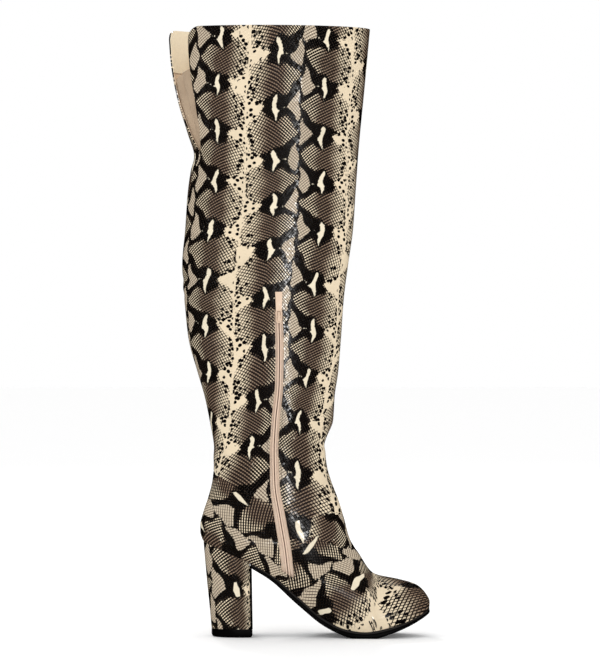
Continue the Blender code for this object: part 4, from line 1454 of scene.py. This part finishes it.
@dataclass(frozen=True)
class LiningCloth:
    """Peach cloth lining with a cream facing round the collar, sewn along its lower edge."""

    cloth: Colour = srgb(228, 202, 174)
    facing: Colour = srgb(248, 234, 206)
    groove: Colour = srgb(166, 136, 108)
    facing_edge: Span = (-0.4, 0.4)
    seam_edge: Span = (1.2, 0.2)
    seam_share: float = 0.8
    fibre: Noise = (700.0, 2.0)
    fibre_edge: Span = (0.4, 0.8)
    fibre_share: float = 0.12
    fibre_height: float = 0.3
    roughness: float = 0.82
    relief: float = 0.0003

    def material(self, name: str) -> Material:
        """The lining's material, from how far below the facing's edge a point is.

        Args:
            name: The material's name.

        Returns:
            The material.
        """
        paint = Painter(name)
        depth, _, _ = paint.attribute("facing")
        colour = paint.mix(paint.step(depth, *self.facing_edge), self.facing, self.cloth)
        seam = paint.step(abs(depth), *self.seam_edge)
        colour = paint.mix(seam * self.seam_share, colour, self.groove)
        fibre = paint.noise(*self.fibre)
        colour = paint.mix(paint.step(fibre, *self.fibre_edge) * self.fibre_share, colour, self.groove)
        return paint.dress(
            base_color=colour,
            roughness=self.roughness - fibre * THREAD_GLOSS,
            normal=paint.bump(fibre * self.fibre_height - seam, self.relief),
        )


@dataclass
class BackGore:
    """The stretch gore behind the slit, folded inwards down its middle."""

    form: BootForm
    top_near: float = 570.0
    top_far: float = 556.0
    bottom: float = 479.0
    lap: float = 0.10
    gap: float = 0.7
    thick: float = 1.0
    fold: float = 4.5
    fold_power: float = 1.5
    rows: int = 60
    columns: int = 41

    def build(self) -> Piece:
        """Makes the gore from the upper's own form, so that it lies against the slit's edges.

        Returns:
            The gore.
        """
        form = self.form
        shares = np.linspace(0, 1, self.columns)
        tops = form.collar - (self.top_near + (self.top_far - self.top_near) * shares)
        ways = tops + (form.collar - self.bottom - tops) * np.linspace(0, 1, self.rows)[:, None]
        edges = [form.slit_angles(min(way, form.slit_end)) for way in ways.mean(axis=1)]
        angles = np.array([np.linspace(near - self.lap, far + self.lap, self.columns) for near, far in edges])
        opened = angles[:, -1] - angles[:, 0] - 2 * self.lap
        opened = np.maximum(opened / opened[0], 0.0)
        fold = self.fold * (1 - abs(2 * shares - 1)) ** self.fold_power
        depth = form.wall + self.gap + fold * opened[:, None]
        points = form.at(ways, angles) - form.outward(ways, angles) * depth[..., None]
        gore = Workshop.grid("gore_elastic", points)
        Workshop.weave(gore, row_lengths(points), ways)
        Workshop.sheet(gore, self.thick, HARD_EDGE)
        return gore


@dataclass
class ZipFastener:
    """The closed zip: a woven tape under the leather and the two cords that it is folded over."""

    form: BootForm
    lap: float = 5.0
    tape_gap: float = 0.4
    tape_thick: float = 0.8
    tape_columns: int = 15
    cord_reach: float = 2.35
    cord_middle: float = 1.2
    cord_depth: float = 0.15
    cord_height: float = 1.55
    cord_short: float = 1.0
    cord_thick: float = 0.25
    cord_columns: int = 27
    rows: int = 180

    def strip(self, name: str, offsets: np.ndarray, ways: np.ndarray, depth: np.ndarray,
              thick: float) -> Piece:
        """A strip that follows the zip.

        Args:
            name: The piece's name.
            offsets: Millimetres from the zip's middle at each row and column, forward first.
            ways: Way of each row.
            depth: How deep each column lies under the leather's outer face.
            thick: Its thickness.

        Returns:
            The strip, with a UV map that counts across and along it.
        """
        angles = np.stack([self.form.zip_angle(ways, offset) for offset in offsets.T], axis=-1)
        down = np.repeat(ways[:, None], offsets.shape[1], axis=1)
        points = self.form.at(down, angles) - self.form.outward(down, angles) * depth[..., None]
        piece = Workshop.grid(name, points)
        Workshop.weave(piece, offsets, down)
        Workshop.sheet(piece, thick, SOFT_EDGE)
        return piece

    def tape(self) -> Piece:
        """The tape, which reaches under the leather on both sides.

        Returns:
            The tape.
        """
        ways = np.linspace(*self.form.zip_ends(self.lap), self.rows)
        reach = self.form.zip_half_width(ways) + self.lap
        offsets = reach[:, None] * np.linspace(1, -1, self.tape_columns)
        depth = np.full(self.tape_columns, self.form.wall + self.tape_gap)
        return self.strip("zip_tape_cloth", offsets, ways, depth, self.tape_thick)

    def cords(self) -> Piece:
        """The two cords as one strip with two round ridges.

        Returns:
            The cords.
        """
        ways = np.linspace(*self.form.zip_ends(-self.cord_short), self.rows)
        across = np.linspace(self.cord_reach, -self.cord_reach, self.cord_columns)
        off_ridge = np.clip((abs(across) - self.cord_middle) / (self.cord_reach - self.cord_middle), -1, 1)
        depth = self.cord_depth + self.cord_height * (1 - np.sqrt(1 - off_ridge ** 2))
        return self.strip("zip_cords", np.tile(across, (self.rows, 1)), ways, depth, self.cord_thick)


@dataclass(frozen=True)
class CordCloth:
    """Woven cord of the closed zip, darker with painted shade in the groove between its two halves and along
    its edges.
    """

    colour: Colour = srgb(232, 206, 184)
    shade: Colour = srgb(204, 174, 150)
    # Colour of the painted shade in the groove between the cords and along their outer edges
    groove: Colour = srgb(112, 84, 68)
    turn: float = 0.9
    turn_edge: Span = (0.2, 0.8)
    groove_edge: Span = (0.7, 0.35)
    groove_shade_share: float = 0.85
    rim: Span = (2.0, 2.3)
    rim_shade_share: float = 0.5
    roughness: float = 0.7
    relief: float = 0.0001

    def material(self, name: str) -> Material:
        """The cord's material on a UV map that counts across and along it.

        Args:
            name: The material's name.

        Returns:
            The material.
        """
        paint = Painter(name)
        across, along, _ = paint.surface_uv("weave")
        off = abs(across * UV_MM)
        turns = (along * (UV_MM / self.turn)).wave()
        colour = paint.mix(paint.step(turns, *self.turn_edge), self.shade, self.colour)
        # Painted shade: darkest in the groove between the two cords, and also along their outer edges
        groove_shade = paint.step(off, *self.groove_edge) * self.groove_shade_share
        darker = groove_shade.math("MAXIMUM", paint.step(off, *self.rim) * self.rim_shade_share)
        return paint.dress(
            base_color=paint.mix(darker, colour, self.groove),
            roughness=self.roughness - turns * THREAD_GLOSS,
            normal=paint.bump(turns, self.relief),
        )


@dataclass
class Stitching:
    """Rows of sewn stitches beside the zip."""

    form: BootForm
    pitch: float = 3.0
    length: float = 2.1
    radius: float = 0.2
    edge: float = 2.2
    past: float = 3.0
    proud: float = 0.05
    half_step: float = 0.5
    sides: int = 6

    def stitch(self) -> tuple[np.ndarray, list[tuple[int, ...]]]:
        """One stitch along X, modelled once: its points in millimetres and its faces.

        Returns:
            The points, and the point numbers of each face.
        """
        Workshop.clear_selection()
        bpy.ops.mesh.primitive_cylinder_add(vertices=self.sides, radius=1.0, depth=1.0,
                                            rotation=(0, math.pi / 2, 0))
        bar = bpy.context.object
        bpy.ops.object.transform_apply(location=False, rotation=True, scale=False)
        points = np.array([vert.co for vert in bar.data.vertices])
        faces = [tuple(face.vertices) for face in bar.data.polygons]
        bpy.data.objects.remove(bar)
        return points * (self.length, self.radius, self.radius), faces

    def row(self, offset: float) -> np.ndarray:
        """Frames of the stitches of one row: middles, then directions along, sideways and outwards.

        Args:
            offset: 1 in front of the zip and -1 behind it.

        Returns:
            Four vectors for each stitch.
        """
        form = self.form
        ways = np.arange(*form.zip_ends(self.past), self.pitch)
        off = offset * (form.zip_half_width(ways) + self.edge)
        steps = (ways - self.half_step, ways, ways + self.half_step)
        before, here, after = (form.at(way, form.zip_angle(way, off)) for way in steps)
        along = after - before
        along /= np.linalg.norm(along, axis=-1, keepdims=True)
        outward = form.outward(ways, form.zip_angle(ways, off))
        return np.stack([here + outward * self.proud, along, np.cross(outward, along), outward], axis=1)

    def build(self) -> Piece:
        """Copies the stitch along both sides of the zip.

        Returns:
            All stitches as one piece.
        """
        points, faces = self.stitch()
        frames = np.concatenate([self.row(1.0), self.row(-1.0)])
        placed = [frame[0] + points @ frame[1:] for frame in frames]
        joined = [[i * len(points) + k for k in face] for i in range(len(frames)) for face in faces]
        piece = Workshop.from_faces("zip_stitches", np.concatenate(placed), joined)
        Workshop.smooth(piece, HARD_EDGE)
        return piece


def grown(loop: np.ndarray, distance: np.ndarray) -> np.ndarray:
    """A loop moved outwards in plan by a distance for each point.

    Args:
        loop: Points of the loop.
        distance: Millimetres for each point.

    Returns:
        The moved loop.
    """
    ahead = np.roll(loop, -1, axis=0) - np.roll(loop, 1, axis=0)
    out = np.stack([ahead[:, 1], -ahead[:, 0]], axis=-1)
    out /= np.linalg.norm(out, axis=1, keepdims=True)
    if np.sum((loop[:, :2] - loop[:, :2].mean(axis=0)) * out) < 0:
        out = -out
    moved = loop.copy()
    moved[:, :2] += out * distance[:, None]
    return moved


def lofted(name: str, loops: Sequence[np.ndarray], rear_edge: bool = False) -> Piece:
    """A closed piece through a stack of loops, the first on top.

    Args:
        name: The piece's name.
        loops: Points from the rear along the zip side to the front and back along the other side.
        rear_edge: Whether a loop's two ends are the ends of a straight rear edge; otherwise its first point
            is the middle of the rear.

    Returns:
        The piece, with faces that point outwards and smooth shading.
    """
    count = len(loops[0])
    faces = []
    for start in range(0, (len(loops) - 1) * count, count):
        for i in range(count):
            j = (i + 1) % count
            faces.append([start + i, start + j, start + count + j, start + count + i])
    last = count - 1 if rear_edge else count
    for start in (0, (len(loops) - 1) * count):
        for i in range((last + rear_edge) // 2):
            corners = dict.fromkeys(start + k % count for k in (i, i + 1, last - i - 1, last - i))
            if len(corners) > 2:
                faces.append(list(corners))
    piece = Workshop.from_faces(name, np.concatenate(loops), faces)
    Workshop.edit_all(piece, lambda: bpy.ops.mesh.normals_make_consistent(inside=False))
    Workshop.smooth(piece, MOULDED_EDGE)
    return piece


@dataclass
class SoleUnit:
    """The black sole from the heel's breast to the toe, with its stepped edge."""

    form: BootForm
    start: float = 50.9
    fit_gap: float = 0.3
    waist_trim: float = 0.8
    toe_flush: float = 0.7
    toe_from: float = 195.0
    stations: int = 150
    edge: Table = ((0.0, 0.1), (0.02, 0.5), (0.07, 0.9), (0.16, 1.05), (0.26, 1.0), (0.29, 0.7), (0.31, 0.5),
                   (0.35, 0.45), (0.38, 0.5), (0.41, 1.1), (0.44, 1.4), (0.58, 1.65), (0.72, 1.7),
                   (0.85, 1.5), (0.93, 1.1), (0.98, 0.4), (1.0, -0.6))

    def build(self) -> Piece:
        """Lofts the sole from its outline at each level of the edge.

        Returns:
            The sole.
        """
        form = self.form
        back, front = form.feather[0][0], form.feather[-1][0]
        first = math.acos(1 - 2 * (self.start - back) / (front - back))
        angles = np.linspace(first, math.pi, self.stations)
        angles = np.concatenate([-angles, angles[-2::-1]])
        outline = form.at(np.full(len(angles), form.length), angles)
        x = outline[:, 0]
        trim = self.waist_trim * np.clip(1 - (x - self.start) / (form.swing_from - self.start), 0, 1)
        flush = 1 - self.toe_flush * eased(x, self.toe_from, front)
        top = form.feather_height(x) - self.fit_gap
        loops = []
        for share, stands_out in self.edge:
            loop = grown(outline, stands_out * flush - trim)
            loop[[0, -1], 0] = self.start
            loop[:, 2] = top + (form.tread_height(x) - top) * share
            loops.append(loop)
        sole = lofted("sole_unit", loops, rear_edge=True)
        Workshop.count(sole, "level", np.repeat([share for share, _ in self.edge], len(outline)))
        return sole


@dataclass(frozen=True)
class SoleRubber(Moulded):
    """Black moulded rubber, a little greyer along the ledge under the upper."""

    ledge: Colour = srgb(40, 37, 36)
    ledge_edge: Span = (0.30, 0.24)

    def ground(self, paint: Painter) -> Value:
        """The rubber's colour without scuffs, from the level on the sole's edge."""
        level, _, _ = paint.attribute("level")
        return paint.mix(paint.step(level, *self.ledge_edge), self.colour, self.ledge)


@dataclass
class BlockHeel:
    """The covered block heel and its top lift."""

    form: BootForm
    repeat: SnakePrint
    sections: Table = ((8.3, 11.6, 50.6, 23.6), (30.0, 9.6, 50.2, 24.0), (55.0, 7.0, 49.8, 25.2),
                       (95.0, 3.4, 49.4, 27.2))
    corner: float = 3.0
    fit_gap: float = 0.3
    arc_steps: int = 48
    least_straight: float = 1.0
    corner_steps: int = 8
    side_steps: int = 12
    flat_levels: int = 24
    levels: int = 64
    lift_height: float = 8.0
    lift_reach: float = 1.7
    lift_edge: Table = ((0.0, 1.8), (0.05, 1.1), (0.16, 0.5), (0.28, 0.15), (0.4, 0.0), (0.9, 0.0),
                        (1.0, 0.3))
    flame_height: float = 49.0
    flame_x: float = 36.8
    stretch: float = 1.08
    without_flame: Table = ((36.8, 48.0, 16.0),)
    flame: Table = ((33.8, 55.2), (36.2, 56.0), (37.3, 52.0), (39.0, 49.5), (40.0, 41.4), (36.0, 40.6),
                    (34.4, 44.5), (33.0, 47.0), (33.4, 51.2))
    breast_squeeze: float = 1.7
    rear_stretch: float = 0.87
    spread: float = 0.7

    def outline(self, back: float, breast: float, half_width: float) -> np.ndarray:
        """A section in plan: round at the back, flat at the breast with small corners.

        Args:
            back: X of the back.
            breast: X of the breast.
            half_width: Half the section's width.

        Returns:
            Points in plan, from the rear along the zip side.
        """
        reach = min(half_width, breast - back - self.corner - self.least_straight)
        turn = np.linspace(0, math.pi / 2, self.arc_steps)
        side = np.stack([back + reach * (1 - np.cos(turn)), half_width * np.sin(turn)], axis=-1)
        bend = np.linspace(math.pi / 2, 0, self.corner_steps)
        turned = np.stack([np.cos(bend), np.sin(bend)], axis=-1)
        front = np.array([breast, half_width]) - self.corner * (1 - turned)
        straight = np.linspace(side[-1], front[0], self.side_steps)[1:-1]
        half = np.concatenate([side, straight, front, [[breast, 0.0]]])
        return np.concatenate([half * (1, -1), half[-2:0:-1]])

    def loop(self, height: float, extra: float = 0.0) -> np.ndarray:
        """The heel's section at a height, as a flat loop."""
        heights, *measures = zip(*self.sections)
        back, breast, half = (float(smooth_curve(heights, values, height)) for values in measures)
        plan = self.outline(back - extra, breast + min(extra, 0.0), half + extra)
        return np.column_stack([plan, np.full(len(plan), height)])

    def cover(self) -> Piece:
        """The block in its printed cover, cupped to the slope of the heel seat.

        Returns:
            The heel.
        """
        low, high = self.sections[0][0], self.sections[-1][0]
        seat = self.form.feather_height(self.loop(high)[:, 0]) - self.fit_gap
        flat = np.array([self.loop(height) for height in np.linspace(low, high, self.flat_levels)])
        loops = []
        for share in np.linspace(1, 0, self.levels):
            heights = low + (seat - low) * share
            plan = [[np.interp(height, column[:, 2], column[:, k]) for k in (0, 1)]
                    for height, column in zip(heights, flat.swapaxes(0, 1))]
            loops.append(np.column_stack([plan, heights]))
        loops[0][:, 2] = self.form.feather_height(loops[0][:, 0]) - self.fit_gap
        heel = lofted("heel_cover", loops)
        self.lay(heel, np.array(loops))
        return heel

    def lay(self, heel: Piece, loops: np.ndarray) -> None:
        """Lays the print round the cover from its flame, squeezed towards the breast.

        Args:
            heel: The lofted cover.
            loops: Its loops, the first on top.
        """
        middle = loops[self.levels // 2]
        closed = row_lengths(np.concatenate([middle, middle[:1]])[None, :, :2])[0]
        lengths, number = closed[:-1], np.arange(len(middle))
        half = len(middle) // 2
        lengths = np.where(number > half, lengths - closed[-1], lengths)
        side = slice(half - self.corner_steps)
        ahead = lengths - np.interp(self.flame_x, middle[side, 0], lengths[side])
        to_breast = (ahead > 0) & (number <= half)
        across = self.repeat.slit + np.where(to_breast, self.breast_squeeze, self.rear_stretch) * ahead
        corners = Workshop.corner_points(heel)
        forward, _, height = loops.reshape(-1, 3)[corners].T
        lay_print(
            heel,
            self.repeat,
            np.tile(across, self.levels)[corners],
            (self.flame_height - height) / self.stretch,
            -self.repeat.to_rounds(forward, height, self.without_flame),
            self.repeat.to_shape(forward, height, self.flame),
            self.spread,
        )

    def top_lift(self) -> Piece:
        """The black lift that the heel stands on, rounded under its rim.

        Returns:
            The lift.
        """
        base, back, breast, _ = self.sections[0]
        loops = []
        for share, drawn_in in self.lift_edge[::-1]:
            loop = self.loop(base, extra=-drawn_in)
            loop[:, 0] += self.lift_reach * eased(loop[:, 0], back, breast)
            loop[:, 2] = self.lift_height * share
            loops.append(loop)
        return lofted("top_lift", loops)


def softened(node: Piece, name: str, width: float) -> Piece:
    """A copy of a CAD node with its sharp edges bevelled by a width in millimetres.

    Args:
        node: The CAD node.
        name: The piece's name.
        width: The bevel's width.

    Returns:
        The new object.
    """
    data = node.data.copy()
    data.transform(node.matrix_world)
    data.materials.clear()
    piece = bpy.data.objects.new(name, data)
    bpy.context.scene.collection.objects.link(piece)
    Workshop.weld(piece)
    sharp = math.radians(HARD_EDGE)
    Workshop.finish(piece, "BEVEL", width=width * MM, segments=2, limit_method="ANGLE", angle_limit=sharp)
    Workshop.smooth(piece, HARD_EDGE)
    return piece


def aimed(name: str, data: bpy.types.ID, place: Place, target: Place) -> bpy.types.Object:
    """A light or a camera at a place, turned to face a target.

    Args:
        name: The object's name.
        data: The light or the camera.
        place: Where it is.
        target: What it faces.

    Returns:
        The new object.
    """
    thing = bpy.data.objects.new(name, data)
    thing.location = place
    thing.rotation_euler = (Vector(target) - Vector(place)).to_track_quat("-Z", "Y").to_euler()
    bpy.context.scene.collection.objects.link(thing)
    return thing


@dataclass(frozen=True)
class Lamp:
    """One round soft light: its place and width in metres, its watts, and whether gloss mirrors it."""

    name: str
    place: Place
    size: float
    power: float
    mirrored: bool

    def light(self, target: Place) -> None:
        """Hangs the light so that it faces a target.

        Args:
            target: What it faces.
        """
        data = bpy.data.lights.new(self.name, "AREA")
        data.shape = "DISK"
        data.size = self.size
        data.energy = self.power
        aimed(self.name, data, self.place, target).visible_glossy = self.mirrored


@dataclass
class Studio:
    """Pale floor under an even pale sky, soft lights and the camera at the photograph's angle."""

    camera_at: Place = (-0.11656, -3.4, 0.301)
    camera_aim: Place = (0.0, 0.0, 0.3015)
    lens: float = 181.0
    sees_to: float = 20.0
    floor_size: float = 60.0
    floor_cells: int = 8
    floor_drop: float = 0.0002
    floor_tone: Colour = (0.995, 0.995, 0.995)
    floor_shade: Colour = (0.98, 0.98, 0.98)
    floor_glow: float = 0.046
    floor_cloud: float = 3.0
    floor_roughness: float = 0.9
    floor_specular: float = 0.1
    sky: float = 1.0
    lights: tuple[Lamp, ...] = (
        Lamp("key_light", (1.0, -3.3, 0.12), 0.26, 8.5, True),
        Lamp("second_key_light", (0.0, -3.2, 1.7), 0.3, 11.0, True),
        Lamp("rear_key_light", (-0.6, 2.8, 2.3), 0.4, 22.0, True),
        Lamp("fill_light", (-2.1, -2.3, 1.5), 1.6, 1.0, False),
        Lamp("top_light", (-0.2, -0.6, 2.6), 1.4, 2.0, False),
    )
    lamp_aim: Place = (0.0, 0.0, 0.3)

    def floor(self) -> Piece:
        """The floor, a hair under the soles.

        Returns:
            The floor.
        """
        Workshop.clear_selection()
        cells, place = self.floor_cells, (0.0, 0.0, -self.floor_drop)
        bpy.ops.mesh.primitive_grid_add(x_subdivisions=cells, y_subdivisions=cells, size=self.floor_size,
                                        location=place)
        sheet = bpy.context.object
        sheet.name = "floor"
        sheet.visible_glossy = False
        paint = Painter("pale_floor")
        finish = paint.dress(
            base_color=paint.mix(paint.noise(self.floor_cloud), self.floor_tone, self.floor_shade),
            roughness=self.floor_roughness,
            specular_ior_level=self.floor_specular,
            emission_color=WHITE,
            emission_strength=self.floor_glow,
        )
        sheet.data.materials.append(finish)
        return sheet

    def world(self) -> bpy.types.World:
        """The even sky, which gloss doesn't mirror.

        Returns:
            The world.
        """
        world = bpy.data.worlds.new("studio")
        world.use_nodes = True
        around = world.node_tree.nodes["Background"]
        around.inputs["Color"].default_value = (*WHITE, 1.0)
        around.inputs["Strength"].default_value = self.sky
        world.cycles_visibility.glossy = False
        return world

    def build(self) -> None:
        """Sets up the stage, the lights, the world and the camera."""
        self.floor()
        for lamp in self.lights:
            lamp.light(self.lamp_aim)
        scene = bpy.context.scene
        scene.world = self.world()
        scene.view_settings.view_transform = "Standard"
        data = bpy.data.cameras.new("camera")
        data.lens = self.lens
        data.clip_end = self.sees_to
        scene.camera = aimed("camera", data, self.camera_at, self.camera_aim)


Finish = PrintLeather | LiningCloth | Cloth | CordCloth | Moulded
FINISHES: dict[str, Finish] = {
    "printed_leather": PrintLeather(),
    "lining_cloth": LiningCloth(),
    "gore_ribs": Cloth(srgb(196, 172, 144), srgb(150, 126, 102), thread=0.0011, ribs=True),
    "zip_tape_weave": Cloth(srgb(234, 211, 190), srgb(206, 178, 154), thread=0.00055),
    "zip_cord_weave": CordCloth(),
    "dark_thread": Moulded(srgb(52, 42, 36), srgb(80, 66, 56), roughness=0.6, grain=0.00003),
    "beige_enamel": Moulded(srgb(224, 196, 170), srgb(200, 168, 142), roughness=0.3, grain=0.00002, coat=0.3),
    "sole_rubber": SoleRubber(
        srgb(6, 5, 5), srgb(20, 18, 17), roughness=0.46, grain=0.00005, specular=0.12, cloud=(80.0, 5.0),
        fine=(1500.0, 2.0), scuff_share=0.4, speck_share=0.0, gloss_change=0.2),
    "lift_rubber": Moulded(srgb(6, 5, 5), srgb(20, 18, 17), roughness=0.42, grain=0.00005, specular=0.12),
    "sock_leather": Moulded(srgb(214, 184, 152), srgb(190, 158, 128), roughness=0.75, grain=0.0001),
}


def put(piece: Piece, finish: Material, body: str, slot: str, *nodes: str) -> None:
    """Dresses a piece, rides it on a body and hides the CAD nodes that it stands for.

    Args:
        piece: The piece.
        finish: Its material.
        body: The body that it rides on.
        slot: Its material slot; not used.
        nodes: The CAD nodes.
    """
    piece.data.materials.clear()
    piece.data.materials.append(finish)
    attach(piece, body)
    if nodes:
        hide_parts(*nodes)
    LOG.info("%s: %d faces", piece.name, len(piece.data.polygons))


def main() -> None:
    """Builds the boot's looks piece by piece, then the studio."""
    logging.basicConfig(level=logging.INFO, format="%(message)s")
    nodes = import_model()["nodes"]
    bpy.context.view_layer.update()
    form = BootForm()
    repeat = SnakePrint()
    looks = {name: finish.material(name) for name, finish in FINISHES.items()}

    upper, lining = Upper(form, repeat).build()
    put(upper, looks["printed_leather"], BOOT_BODY, "print_leather", "upper")
    put(lining, looks["lining_cloth"], BOOT_BODY, "sock")
    put(BackGore(form).build(), looks["gore_ribs"], BOOT_BODY, "elastic", "back_gore")
    fastener = ZipFastener(form)
    put(fastener.tape(), looks["zip_tape_weave"], BOOT_BODY, "zip_cloth", "zip_tape")
    put(fastener.cords(), looks["zip_cord_weave"], BOOT_BODY, "zip_coil", "zip_coil")
    put(Stitching(form).build(), looks["dark_thread"], BOOT_BODY, "print_leather")
    slider = softened(nodes["zip_slider"], "slider", width=0.3)
    put(slider, looks["beige_enamel"], BOOT_BODY, "zip_enamel", "zip_slider")
    tab = softened(nodes["zip_pull_tab"], "tab", width=0.25)
    put(tab, looks["beige_enamel"], TAB_BODY, "zip_enamel", "zip_pull_tab")
    put(SoleUnit(form).build(), looks["sole_rubber"], BOOT_BODY, "sole", "outsole")
    heel = BlockHeel(form, repeat)
    put(heel.cover(), looks["printed_leather"], BOOT_BODY, "print_leather", "heel")
    put(heel.top_lift(), looks["lift_rubber"], BOOT_BODY, "sole", "heel_top_lift")
    flap = softened(nodes["heel_breast_flap"], "breast_flap", width=0.4)
    put(flap, looks["lift_rubber"], BOOT_BODY, "sole", "heel_breast_flap")
    nodes["insole"].material_slots[0].material = looks["sock_leather"]

    Studio().build()


if __name__ == "__main__":
    main()
